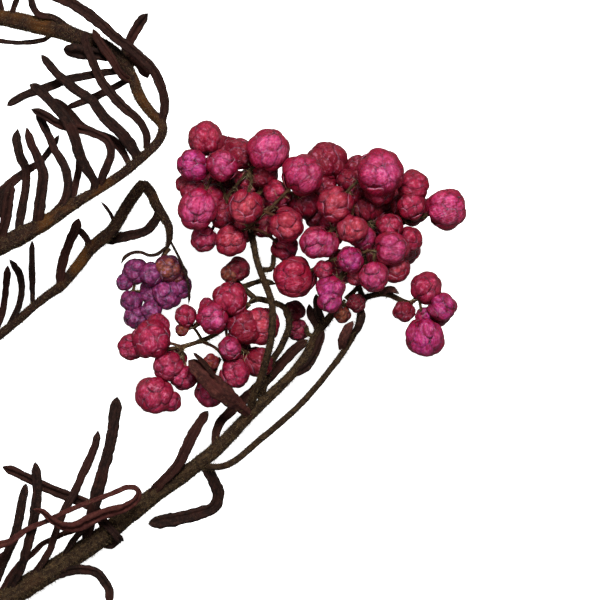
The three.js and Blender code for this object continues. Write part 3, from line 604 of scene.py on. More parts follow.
def mesh_of(name: str, points: np.ndarray, edges: Sequence[Sequence[int]] = (),
            faces: Sequence[Sequence[int]] = (), **values: np.ndarray) -> bpy.types.Mesh:
    """Builds a mesh whose points carry values.

    Args:
        name: the mesh's name.
        points: one row of three metres for each point.
        edges: pairs of points, for a route.
        faces: rings of points, for a surface.
        values: for each name, one number, three numbers or a colour for each point.

    Returns:
        The mesh.
    """
    mesh = bpy.data.meshes.new(name)
    mesh.from_pydata([tuple(p) for p in points], [tuple(e) for e in edges], [tuple(f) for f in faces])
    kinds = {1: ("FLOAT", "value"), 3: ("FLOAT_VECTOR", "vector"), 4: ("FLOAT_COLOR", "color")}
    for label, rows in values.items():
        rows = np.asarray(rows, float).reshape(len(points), -1)
        kind, key = kinds[rows.shape[1]]
        mesh.attributes.new(label, kind, "POINT").data.foreach_set(key, rows.astype(np.float32).ravel())
    return mesh


def template(mesh: bpy.types.Mesh) -> bpy.types.Object:
    """Wraps a mesh that trees repeat. It stays out of the scene."""
    return bpy.data.objects.new(mesh.name, mesh)


@dataclass
class BractShape:
    """One cupped bract, drawn on a globe of radius 1 with its middle up and its tip towards -X."""

    half_width: float = 0.56
    half_length: float = 0.68
    bulge: float = 0.1
    tuck: float = 0.05
    keel: float = 0.015
    thickness: float = 0.05
    ripple: float = 0.05
    phase: float = 0.0
    rings: tuple[float, ...] = (0.0, 0.32, 0.6, 0.84, 1.0)
    inner_rings: tuple[float, ...] = (0.0, 0.55)
    spokes: int = 16

    def build(self, name: str) -> bpy.types.Object:
        """Builds a closed shell: the outer skin, and an inner one that meets it at the margin.

        Args:
            name: the name of the form.

        Returns:
            The form, outside the scene.
        """
        angles = np.arange(self.spokes) * 2 * math.pi / self.spokes
        outer = [self._ring(share, angles, 0.0) for share in self.rings]
        inner = [self._ring(share, angles, self.thickness) for share in self.inner_rings]
        points = np.vstack([ring[0] for ring in [*outer, *inner]])
        across = np.concatenate([ring[1] for ring in [*outer, *inner]])
        up = np.concatenate([ring[2] for ring in [*outer, *inner]])
        starts = np.cumsum([0] + [len(ring[0]) for ring in [*outer, *inner]])
        count = len(self.rings)
        faces = self._skin([starts[i] for i in range(count)])
        faces += [face[::-1] for face in self._skin([*(starts[count + i] for i in range(len(inner))),
                                                     starts[count - 1]])]
        return template(mesh_of(name, points, faces=faces, across=across, up=up))

    def _ring(self, share: float, angles: np.ndarray, depth: float) -> tuple[np.ndarray, ...]:
        """Places the points of one ring of the bract.

        Args:
            share: how far out the ring lies, from 0 in the middle to 1 at the margin.
            angles: the direction of each spoke, 0 towards the tip.
            depth: how far under the outer skin the ring lies in the middle.

        Returns:
            The points, and for each its way across and its way up, from -1 to 1.
        """
        angles = angles if share else angles[:1]
        uneven = 1 + self.ripple * share * np.sin(5 * angles + self.phase)
        up = share * np.cos(angles)
        across = share * np.sin(angles) * (1 + 0.12 * up)
        broad = np.hypot(across * self.half_width, up * self.half_length) * uneven
        turn = np.arctan2(across * self.half_width, up * self.half_length)
        away = np.stack([-np.sin(broad) * np.cos(turn), np.sin(broad) * np.sin(turn), np.cos(broad)], axis=1)
        under = share ** 2 * (self.tuck * (0.5 - 0.5 * np.cos(angles)) + 0.02)
        keel = self.keel * np.exp(-(across / 0.22) ** 2) * (1 - share ** 4)
        radius = 1 + self.bulge * (1 - share ** 2) - under + keel - depth * (1 - share ** 2)
        return away * radius[:, None], across, up

    def _skin(self, starts: Sequence[int]) -> list[list[int]]:
        """Joins a middle point and the rings round it with faces that point up.

        Args:
            starts: the number of the middle point, and of the first point of each ring outwards.

        Returns:
            The faces, each a list of point numbers.
        """
        spokes = range(self.spokes)
        after = [(i + 1) % self.spokes for i in spokes]
        faces = [[starts[0], starts[1] + after[i], starts[1] + i] for i in spokes]
        for low, high in zip(starts[1:], starts[2:]):
            faces += [[low + i, low + after[i], high + after[i], high + i] for i in spokes]
        return faces


@dataclass
class HairShape:
    """One hair that stands on the origin and tapers to a point, straight unless it has a bend."""

    length: float
    thickness: float
    bend: float = 0.0

    def build(self, name: str) -> bpy.types.Object:
        """Builds three sides with a closed root, in two stretches where the hair is bent.

        Args:
            name: the name of the form.

        Returns:
            The form, outside the scene.
        """
        corners = [(math.cos(a), math.sin(a), 0.0) for a in (0.0, 2.1, 4.2)]
        half = 0.5 * self.thickness * MM
        root = np.array(corners) * half
        if not self.bend:
            points = np.vstack([root, [[0.0, 0.0, self.length * MM]]])
            sides = [[2, 1, 0], [0, 1, 3], [1, 2, 3], [2, 0, 3]]
            return template(mesh_of(name, points, faces=sides, up=np.array([0.0] * 3 + [1.0])))
        middle = np.array(corners) * half * 0.7 + np.array([self.bend * 0.3, 0, 0.55]) * self.length * MM
        tip = np.array([[self.bend, 0.0, 1.0]]) * self.length * MM
        faces = [[2, 1, 0], [0, 1, 4, 3], [1, 2, 5, 4], [2, 0, 3, 5], [3, 4, 6], [4, 5, 6], [5, 3, 6]]
        up = [0.0] * 3 + [0.5] * 3 + [1.0]
        return template(mesh_of(name, np.vstack([root, middle, tip]), faces=faces, up=np.array(up)))


def section(name: str, outline: np.ndarray, across: np.ndarray) -> bpy.types.Object:
    """Wraps a closed section that is swept along a route.

    Args:
        name: the name of the form.
        outline: two numbers for each point, where 1 is the half width of what is swept.
        across: how far across each point lies, for the fibres.

    Returns:
        The form, outside the scene.
    """
    ring = [(i, (i + 1) % len(outline)) for i in range(len(outline))]
    points = np.column_stack([outline, np.zeros(len(outline))])
    return template(mesh_of(name, points, edges=ring, across=across))


def ridged_section(name: str, sides: int, ridges: int, height: float) -> bpy.types.Object:
    """A round section of radius 1 with low ridges, as a stem has below its leaves.

    Args:
        name: the name of the form.
        sides: how many points it has.
        ridges: how many ridges it has.
        height: half the height of a ridge.

    Returns:
        The form, outside the scene.
    """
    angle = np.arange(sides) * 2 * math.pi / sides
    radius = 1 - height + height * np.cos(ridges * angle)
    outline = np.stack([np.cos(angle), np.sin(angle)], axis=1) * radius[:, None]
    return section(name, outline, 4 * angle / math.pi)


def rolled_section(name: str) -> bpy.types.Object:
    """The section of a rolled leaf: a groove along its back and both margins curled under.

    Args:
        name: the name of the form.

    Returns:
        The form, outside the scene.
    """
    half = [(0.0, 0.42), (0.2, 0.55), (0.55, 0.6), (0.85, 0.38), (1.0, 0.0), (0.86, -0.38), (0.52, -0.5),
            (0.3, -0.3), (0.16, -0.06), (0.0, -0.2)]
    outline = np.array(half + [(-x, y) for x, y in half[-2:0:-1]])
    return section(name, outline, outline[:, 0] + 0.4 * (outline[:, 1] < 0))


def flat_section(name: str) -> bpy.types.Object:
    """The section of a flat leaf: a thick midrib below and thin raised margins.

    Args:
        name: the name of the form.

    Returns:
        The form, outside the scene.
    """
    half = [(0.0, 0.1), (0.3, 0.2), (0.7, 0.26), (0.96, 0.3), (1.0, 0.18), (0.7, 0.04), (0.3, -0.06),
            (0.12, -0.3), (0.0, -0.36)]
    outline = np.array(half + [(-x, y) for x, y in half[-2:0:-1]])
    return section(name, outline, outline[:, 0] + 0.4 * (outline[:, 1] < 0))


class Growths:
    """The Geometry Nodes trees and the shapes that they repeat."""

    def __init__(self) -> None:
        """Builds the trees and the shapes."""
        self.sections = {
            "stem": ridged_section("stem_section", 28, 7, 0.07),
            "stalk": ridged_section("stalk_section", 10, 3, 0.08),
            LeafForm.ROLLED: rolled_section(LeafForm.ROLLED.value),
            LeafForm.FLAT: flat_section(LeafForm.FLAT.value),
        }
        self.bracts = bpy.data.collections.new("bract_forms")
        for order, (wide, long, phase) in enumerate(((0.58, 0.65, 0.0), (0.52, 0.7, 2.1), (0.63, 0.62, 4.0))):
            shape = BractShape(half_width=wide, half_length=long, phase=phase)
            self.bracts.objects.link(shape.build(f"bract_{order}"))
        self.core = self._core()
        self.sweep = self._sweep()
        self.buds = self._buds()
        self.fuzz = self._fuzz()

    @staticmethod
    def _core() -> bpy.types.Object:
        """The inside of a bud under its bracts: a plain globe of radius 1, which carries the painted shade of
        a bract's base.

        Returns:
            The form, outside the scene.
        """
        rows, columns = 6, 10
        points = [(0.0, 0.0, -1.0)]
        for row in range(1, rows):
            polar = math.pi * row / rows
            points += [(math.sin(polar) * math.cos(2 * math.pi * c / columns),
                        math.sin(polar) * math.sin(2 * math.pi * c / columns), -math.cos(polar))
                       for c in range(columns)]
        points.append((0.0, 0.0, 1.0))
        last = len(points) - 1
        faces = [[0, 1 + (c + 1) % columns, 1 + c] for c in range(columns)]
        for row in range(rows - 2):
            low = 1 + row * columns
            faces += [[low + c, low + (c + 1) % columns, low + columns + (c + 1) % columns, low + columns + c]
                      for c in range(columns)]
        faces += [[last, last - columns + c, last - columns + (c + 1) % columns] for c in range(columns)]
        values = np.full(len(points), CORE_UP)
        return template(mesh_of("bud_core", np.array(points), faces=faces, up=values, across=values * 0))

    @staticmethod
    def _sweep() -> Growth:
        """Sweeps a section along each route, as wide as the route says, and shrivels the skin a little.

        Returns:
            The tree.
        """
        tree = Growth("swept_growth", {"Section": "Object", "Shrivel": "Float", "Shrivel Scale": "Float",
                                       "Finish": "Material"})
        routes = tree.add("GeometryNodeMeshToCurve", {0: tree.given["Geometry"]}).outputs[0]
        level = tree.add("GeometryNodeSetCurveNormal", {0: routes}, mode="Z_UP").outputs[0]
        twisted = tree.add("GeometryNodeSetCurveTilt", {0: level, 2: tree.named("twist")}).outputs[0]
        shape = tree.add("GeometryNodeObjectInfo", {0: tree.given["Section"]}).outputs["Geometry"]
        ring = tree.add("GeometryNodeMeshToCurve", {0: shape}).outputs[0]
        swept = tree.add("GeometryNodeCurveToMesh",
                         {0: twisted, 1: ring, 2: tree.named("width"), 3: True}).outputs[0]
        cloud = tree.noise(tree.position, tree.given["Shrivel Scale"], 2.0).outputs[0]
        depth = tree.math("MULTIPLY", tree.math("SUBTRACT", cloud, 0.5),
                          tree.math("MULTIPLY", tree.named("width"), tree.given["Shrivel"]))
        normal = tree.add("GeometryNodeInputNormal").outputs[0]
        dried = tree.add("GeometryNodeSetPosition", {0: swept, 3: tree.scaled(normal, depth)}).outputs[0]
        tree.finished(dried)
        return tree

    @staticmethod
    def _buds() -> Growth:
        """Lays bracts over each bud in a golden angle spiral, from its tip down to its stalk.

        Returns:
            The tree.
        """
        tree = Growth("overlapping_bracts", {
            "Bract Forms": "Collection", "Core": "Object", "Spread": "Float", "Turn": "Float",
            "Ruffle": "Float", "Inner Size": "Float", "Crumple": "Float", "Crumple Scale": "Float",
            "Finish": "Material"})
        radius = tree.named("radius")
        start = tree.stored(tree.given["Geometry"], "centre", tree.position, "FLOAT_VECTOR")
        copies = tree.add("GeometryNodeDuplicateElements", {0: start, 2: tree.named("bracts")},
                          domain="POINT")
        order = tree.math("DIVIDE", tree.math("ADD", copies.outputs[1], 0.9), tree.named("bracts"))
        reach = tree.math("SUBTRACT", 1.0, tree.math("COSINE", tree.given["Spread"]))
        polar = tree.math("ARCCOSINE", tree.math("SUBTRACT", 1.0, tree.math("MULTIPLY", order, reach)))
        round_ = tree.math("MULTIPLY_ADD", copies.outputs[1], tree.given["Turn"], tree.named("spin"))
        euler = tree.add("ShaderNodeCombineXYZ", {1: polar, 2: round_}).outputs[0]
        local = tree.add("FunctionNodeEulerToRotation", {0: euler}).outputs[0]
        facing = tree.add("FunctionNodeAlignRotationToVector", {2: tree.named("axis", "FLOAT_VECTOR")},
                          axis="Z").outputs[0]
        turn = tree.turned(tree.turned(facing, local), tree.tilt(tree.given["Ruffle"], 3))
        growing = tree.math("MULTIPLY_ADD", order, tree.math("SUBTRACT", 1.0, tree.given["Inner Size"]),
                            tree.given["Inner Size"])
        size = tree.math("MULTIPLY", tree.math("MULTIPLY", radius, growing), tree.chance(0.95, 1.05, 4))
        points = tree.stored(copies.outputs[0], "order", order)
        points = tree.stored(points, "chance", tree.chance(0.0, 1.0, 5))
        forms = tree.add("GeometryNodeCollectionInfo", {0: tree.given["Bract Forms"], 1: True}).outputs[0]
        pick = tree.add("FunctionNodeRandomValue", {4: 0, 5: 2, 8: 6}, data_type="INT").outputs[2]
        bracts = tree.add("GeometryNodeInstanceOnPoints", {0: points, 2: forms, 3: True, 4: pick, 5: turn,
                                                           6: size}).outputs[0]
        core = tree.add("GeometryNodeObjectInfo", {0: tree.given["Core"]}).outputs["Geometry"]
        hearts = tree.add("GeometryNodeInstanceOnPoints",
                          {0: start, 2: core, 6: tree.math("MULTIPLY", radius, CORE_SIZE)}).outputs[0]
        join = tree.add("GeometryNodeJoinGeometry", {0: bracts})
        tree.tree.links.new(hearts, join.inputs[0])
        real = tree.add("GeometryNodeRealizeInstances", {0: join.outputs[0]}).outputs[0]
        away = tree.vector("SUBTRACT", tree.position, tree.named("centre", "FLOAT_VECTOR"))
        axis = tree.named("axis", "FLOAT_VECTOR")
        longer = tree.math("SUBTRACT", tree.named("stretch"), 1.0)
        lift = tree.math("MULTIPLY", tree.vector("DOT_PRODUCT", away, axis, out=1), longer)
        cloud = tree.noise(tree.position, tree.given["Crumple Scale"], 2.0).outputs["Color"]
        crumple = tree.scaled(tree.vector("SUBTRACT", cloud, (0.5, 0.5, 0.5)),
                              tree.math("MULTIPLY", radius, tree.given["Crumple"]))
        offset = tree.vector("ADD", tree.scaled(axis, lift), crumple)
        # The height of each point above its bud's middle, which the bract finish uses for painted light on
        # top and painted shade underneath.
        height = tree.add("ShaderNodeSeparateXYZ", {0: away}).outputs[2]
        facing_up = tree.stored(real, "rise", tree.math("DIVIDE", height, radius))
        tree.finished(tree.add("GeometryNodeSetPosition", {0: facing_up, 3: offset}).outputs[0])
        return tree

    @staticmethod
    def _fuzz() -> Growth:
        """Stands hairs all over a surface, each leaning its own way.

        Returns:
            The tree.
        """
        tree = Growth("standing_down", {"Hair": "Object", "Per Square Metre": "Float", "Lean": "Float",
                                        "Seed": "Int", "Finish": "Material"})
        spread = tree.add("GeometryNodeDistributePointsOnFaces",
                          {0: tree.given["Geometry"], 4: tree.given["Per Square Metre"],
                           6: tree.given["Seed"]})
        facing = tree.add("FunctionNodeAlignRotationToVector", {2: spread.outputs[1]}, axis="Z").outputs[0]
        turn = tree.turned(facing, tree.tilt(tree.given["Lean"], 8))
        points = tree.stored(spread.outputs[0], "chance", tree.chance(0.3, 1.0, 9))
        hair = tree.add("GeometryNodeObjectInfo", {0: tree.given["Hair"]}).outputs["Geometry"]
        hairs = tree.add("GeometryNodeInstanceOnPoints", {0: points, 2: hair, 5: turn,
                                                          6: tree.chance(0.5, 1.25, 10)}).outputs[0]
        tree.finished(hairs)
        return tree


@dataclass
class Workshop:
    """What every part of the branch is built with: the trees, the shapes and the finishes."""

    growths: Growths
    bark: bpy.types.Material
    young_bark: bpy.types.Material
    leaf: bpy.types.Material
    red_leaf: bpy.types.Material
    stalk: bpy.types.Material
    down: bpy.types.Material
    wisp: bpy.types.Material
    cut_wood: bpy.types.Material
    bracts: dict[str, bpy.types.Material]
    hair: bpy.types.Object
    long_hair: bpy.types.Object

    @classmethod
    def equipped(cls) -> "Workshop":
        """Builds every tree, shape and finish once.

        Returns:
            The workshop.
        """
        effects = SharedEffects()
        return cls(
            growths=Growths(),
            bark=WoolFinish("dark_woolly_bark", "#1e120a", "#503d26", "#3a2413", 2600.0).material(effects),
            young_bark=WoolFinish("brown_young_bark", "#1c0f0a", "#41291a", "#6c400f", 2400.0, 0.7,
                                  patch_share=0.45, own_share=0.0).material(effects),
            leaf=WoolFinish("chocolate_leaf", "#160b08", "#381f17", "#3a1a14", 2600.0, 0.7).material(effects),
            red_leaf=WoolFinish("reddish_leaf", "#2a1210", "#5e342b", "#4c201c", 2500.0).material(effects),
            stalk=WoolFinish("olive_stalk", "#2e2014", "#6a5234", "#5a2a20", 3000.0).material(effects),
            down=HairFinish("pale_down", "#3c2c18", "#80693f").material(),
            wisp=HairFinish("cream_wisp", "#8a7850", "#c8bb98").material(),
            cut_wood=CutWoodFinish().material(),
            # Each bract finish gives its pale margin colour, then its dark colour, which serves both for
            # mottle and for painted shade.
            bracts={
                "crimson_bract": BractFinish("crimson_paper_bract", "#d87c98", "#740820").material(effects),
                "purple_bract": BractFinish("purple_paper_bract", "#c890b4", "#4a0a30").material(effects),
                "withered_bract": BractFinish("withered_paper_bract", "#b87c78", "#58101c", 0.3,
                                              fibre_count=12.0).material(effects),
            },
            hair=HairShape(0.36, 0.045).build("short_hair"),
            long_hair=HairShape(0.8, 0.05, 0.8).build("long_hair"))


@dataclass(frozen=True)
class Stem:
    """A stem or stalk: its radius at evenly spaced places from the root to the tip, and its middle line."""

    radius: Sequence[float]
    path: Sequence[Point]


@dataclass(frozen=True)
class Leaf:
    """A leaf: its width, its middle line from the root, how its width swells on the way, and its form."""

    width: float
    path: Sequence[Point]
    swell: Sequence[float] = (1.0,)
    form: LeafForm = LeafForm.ROLLED
    red: bool = False


@dataclass(frozen=True)
class LeafSpiral:
    """Leaves that follow one another up a stem at the golden angle, between two shares of its length."""

    start: float
    end: float
    count: int
    length: float
    width: float
    turn: float
    seed: int
    steps: tuple[tuple[float, float], ...] = ((0, 0), (0.22, 0.22), (0.36, 0.56), (0.42, 0.94))
    lowest: float = 1.0
    step: float = 0.25
    least_reach: float = 0.85
    least_lean: float = 0.75
    unevenness: float = 0.3

    def leaves(self, path: Sequence[Point]) -> list[Leaf]:
        """Places the leaves.

        Args:
            path: the stem's middle line, in millimetres.

        Returns:
            The leaves, each with a middle line that bends towards the stem's tip.
        """
        chance = random.Random(self.seed)
        line = route(path, self.step) / MM + BOX_CENTRE
        made = []
        for order in range(self.count):
            share = self.start + (self.end - self.start) * order / (self.count - 1)
            at = min(len(line) - 2, int(share * (len(line) - 1)))
            along = line[at + 1] - line[at]
            along /= np.linalg.norm(along)
            facing = np.array([0, 0, 1.0]) - along[2] * along
            facing /= np.linalg.norm(facing)
            side = np.cross(along, facing)
            angle = self.turn + order * GOLDEN_ANGLE
            outward = side * math.cos(angle) + facing * math.sin(angle)
            reach = self.length * (self.least_reach + self.unevenness * chance.random())
            lean = self.least_lean + self.unevenness * chance.random()
            points = [line[at] + outward * reach * out + along * reach * on * lean for out, on in self.steps]
            lowest = min(self.lowest, line[at][2])
            made.append(Leaf(self.width, [(p[0], p[1], max(p[2], lowest)) for p in points]))
        return made


@dataclass
class Routes:
    """Middle lines that are swept together, gathered as one mesh of points and edges."""

    points: list[np.ndarray] = field(default_factory=list)
    widths: list[np.ndarray] = field(default_factory=list)
    twists: list[np.ndarray] = field(default_factory=list)
    chances: list[np.ndarray] = field(default_factory=list)
    lengths: list[np.ndarray] = field(default_factory=list)

    def add(self, line: np.ndarray, width: np.ndarray, twist: float, chance: float) -> None:
        """Adds a line.

        Args:
            line: its points, in metres.
            width: its half width at each point, in metres.
            twist: how far its section turns from end to end, in radians.
            chance: its own random number, from 0 to 1.
        """
        share = np.linspace(0, 1, len(line))
        self.points.append(line)
        self.widths.append(width)
        self.twists.append(twist * share)
        self.chances.append(np.full(len(line), chance))
        steps = np.linalg.norm(np.diff(line, axis=0), axis=1)
        self.lengths.append(np.concatenate([[0], np.cumsum(steps)]) / MM)

    def mesh(self, name: str) -> bpy.types.Mesh:
        """Joins the lines in one mesh.

        Args:
            name: the mesh's name.

        Returns:
            The mesh, whose points carry the width, the twist, the random number and the length so far.
        """
        starts = np.cumsum([0] + [len(line) for line in self.points])
        edges = [(i, i + 1) for start, end in zip(starts, starts[1:]) for i in range(start, end - 1)]
        return mesh_of(name, np.vstack(self.points), edges=edges, width=np.concatenate(self.widths),
                       twist=np.concatenate(self.twists), chance=np.concatenate(self.chances),
                       up=np.concatenate(self.lengths) * PATTERN_PER_MM)


def dress(piece: bpy.types.Object, slot: str, *nodes: str) -> bpy.types.Object:
    """Lets a finished piece ride on the branch and stand for its solids, which it hides.

    Args:
        piece: the piece.
        slot: the slot of its material; not used.
        nodes: the solids that it stands for.

    Returns:
        The piece.
    """
    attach(piece, BODY)
    if nodes:
        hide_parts(*nodes)
    log.info("%s: %d faces", piece.name, len(piece.data.polygons))
    return piece


@dataclass
class LeafyShoot:
    """One stem with its side stalks, rolled leaves and down."""

    name: str
    axis: Stem
    leaves: Sequence[Leaf]
    spiral: LeafSpiral
    seed: int
    branches: Sequence[Stem] = ()
    young: bool = False
    slot: str = "woolly_stem"
    stem_step: float = 0.45
    leaf_step: float = 0.26
    leaf_fullness: float = 1.06
    bark_down: float = 2.6e7
    leaf_down: float = 1.5e7
    down_lean: float = 1.0
    stem_twist: float = 1.4
    leaf_twist: float = 1.2
    stem_shrivel: tuple[float, float] = (0.34, 1100.0)
    leaf_shrivel: tuple[float, float] = (0.6, 1500.0)
    stem_close: float = 0.7
    stem_close_power: int = 60
    root_narrowing: float = 0.3
    waver: float = 0.06
    tip_round: float = 0.7
    tip_point: float = 0.12

    def build(self, shop: Workshop) -> None:
        """Builds the bark, the leaves and the down of the shoot.

        Args:
            shop: the trees, shapes and finishes.
        """
        chance = random.Random(self.seed)
        skin = shop.young_bark if self.young else shop.bark
        grown = [self._stems([self.axis], "bark", "stem", skin, chance, shop)]
        if self.branches:
            grown.append(self._stems(self.branches, "flower_stalks", "stalk", shop.bark, chance, shop))
        leaves = [*self.leaves, *self.spiral.leaves(self.axis.path)]
        for form in LeafForm:
            for red in (False, True):
                chosen = [leaf for leaf in leaves if leaf.form is form and leaf.red == red]
                if chosen:
                    kind = f"{'reddish_' if red else ''}{form.name.lower()}_leaves"
                    finish = shop.red_leaf if red else shop.leaf
                    grown.append(self._leaves(chosen, kind, form, finish, chance, shop))
        for order, piece in enumerate(grown):
            self._down(piece, order, shop)

    def _stems(self, stems: Sequence[Stem], kind: str, shape: str, finish: bpy.types.Material,
               chance: random.Random, shop: Workshop) -> bpy.types.Object:
        """Sweeps round stems, as thick as their rows of radii say, and rounds their tips off.

        Args:
            stems: the stems.
            kind: what the piece holds, for its name.
            shape: the section's key.
            finish: the piece's finish.
            chance: the random numbers.
            shop: the trees, shapes and finishes.

        Returns:
            The piece.
        """
        routes = Routes()
        for stem in stems:
            line = route(stem.path, self.stem_step)
            share = np.linspace(0, 1, len(line))
            width = along_row(stem.radius, share) * MM
            closing = 1 - self.stem_close * share ** self.stem_close_power
            routes.add(line, width * closing, self.stem_twist, chance.random())
        return self._swept(kind, routes, shape, self.stem_shrivel, finish, shop)

    def _leaves(self, leaves: Sequence[Leaf], kind: str, form: LeafForm, finish: bpy.types.Material,
                chance: random.Random, shop: Workshop) -> bpy.types.Object:
        """Sweeps leaves that are narrow at the root and blunt at the end, where some carry a fine point.

        Args:
            leaves: the leaves.
            kind: what the piece holds, for its name.
            form: how they dried.
            finish: the piece's finish.
            chance: the random numbers.
            shop: the trees, shapes and finishes.

        Returns:
            The piece.
        """
        routes = Routes()
        for leaf in leaves:
            line = route(leaf.path, self.leaf_step)
            share = np.linspace(0, 1, len(line))
            left = (1 - share) * np.linalg.norm(np.diff(line, axis=0), axis=1).sum() / MM
            point = chance.uniform(0, self.tip_point)
            blunt = np.sqrt(np.clip((left - point) / self.tip_round, 0, 1))
            narrow = 1 - self.root_narrowing * (1 - share) ** 6
            taper = narrow * np.maximum(blunt, np.clip(left / 2, 0.06, 0.16))
            waver = 1 + self.waver * np.sin(share * 9 + chance.random() * 6)
            swell = along_row(leaf.swell, share)
            width = 0.5 * self.leaf_fullness * leaf.width * MM * taper * waver * swell
            routes.add(line, width, chance.uniform(-self.leaf_twist, self.leaf_twist), chance.random())
        return self._swept(kind, routes, form, self.leaf_shrivel, finish, shop)

    def _swept(self, kind: str, routes: Routes, shape: str | LeafForm, shrivel: tuple[float, float],
               finish: bpy.types.Material, shop: Workshop) -> bpy.types.Object:
        """Sweeps one section along the routes and dresses the piece.

        Args:
            kind: what the piece holds, for its name.
            routes: the middle lines.
            shape: the section's key.
            shrivel: how deep the skin shrivels, as a share of the half width, and how finely.
            finish: the piece's finish.
            shop: the trees, shapes and finishes.

        Returns:
            The piece.
        """
        name = f"{self.name}_{kind}"
        piece = shop.growths.sweep.grow(name, routes.mesh(f"{name}_routes"),
                                        Section=shop.growths.sections[shape], Shrivel=shrivel[0],
                                        Shrivel_Scale=shrivel[1], Finish=finish)
        return dress(piece, self.slot, self.name)

    def _down(self, piece: bpy.types.Object, order: int, shop: Workshop) -> None:
        """Covers a finished piece with short hairs, the bark thicker than the leaves.

        Args:
            piece: the piece.
            order: its place among the shoot's pieces, where the bark is 0.
            shop: the trees, shapes and finishes.
        """
        density = self.bark_down if order == 0 else self.leaf_down
        hairs = shop.growths.fuzz.grow(f"{piece.name}_down", piece.data, Hair=shop.hair,
                                       Per_Square_Metre=density, Lean=self.down_lean, Seed=self.seed + order,
                                       Finish=shop.down)
        dress(hairs, self.slot, self.name)


@dataclass(frozen=True)
class BackRule:
    """Buds on the hidden side of a head: a golden angle spiral over the lower half of an egg shape."""

    middle: Point
    reach: Point
    count: int
    radius: float

    def buds(self, tone: Tone) -> list[tuple]:
        """Places the buds, one row each.

        Args:
            tone: what they dried to.

        Returns:
            The rows: the middle in millimetres, the radius and the tone.
        """
        rows = []
        for order in range(self.count):
            rise = (order + 0.8) / (self.count + 0.6)
            spread = math.sqrt(1 - (1 - rise) ** 2)
            angle = order * GOLDEN_ANGLE
            rows.append((self.middle[0] + self.reach[0] * spread * math.cos(angle),
                         self.middle[1] + self.reach[1] * spread * math.sin(angle),
                         self.middle[2] - self.reach[2] * (1 - rise), self.radius, tone))
        return rows


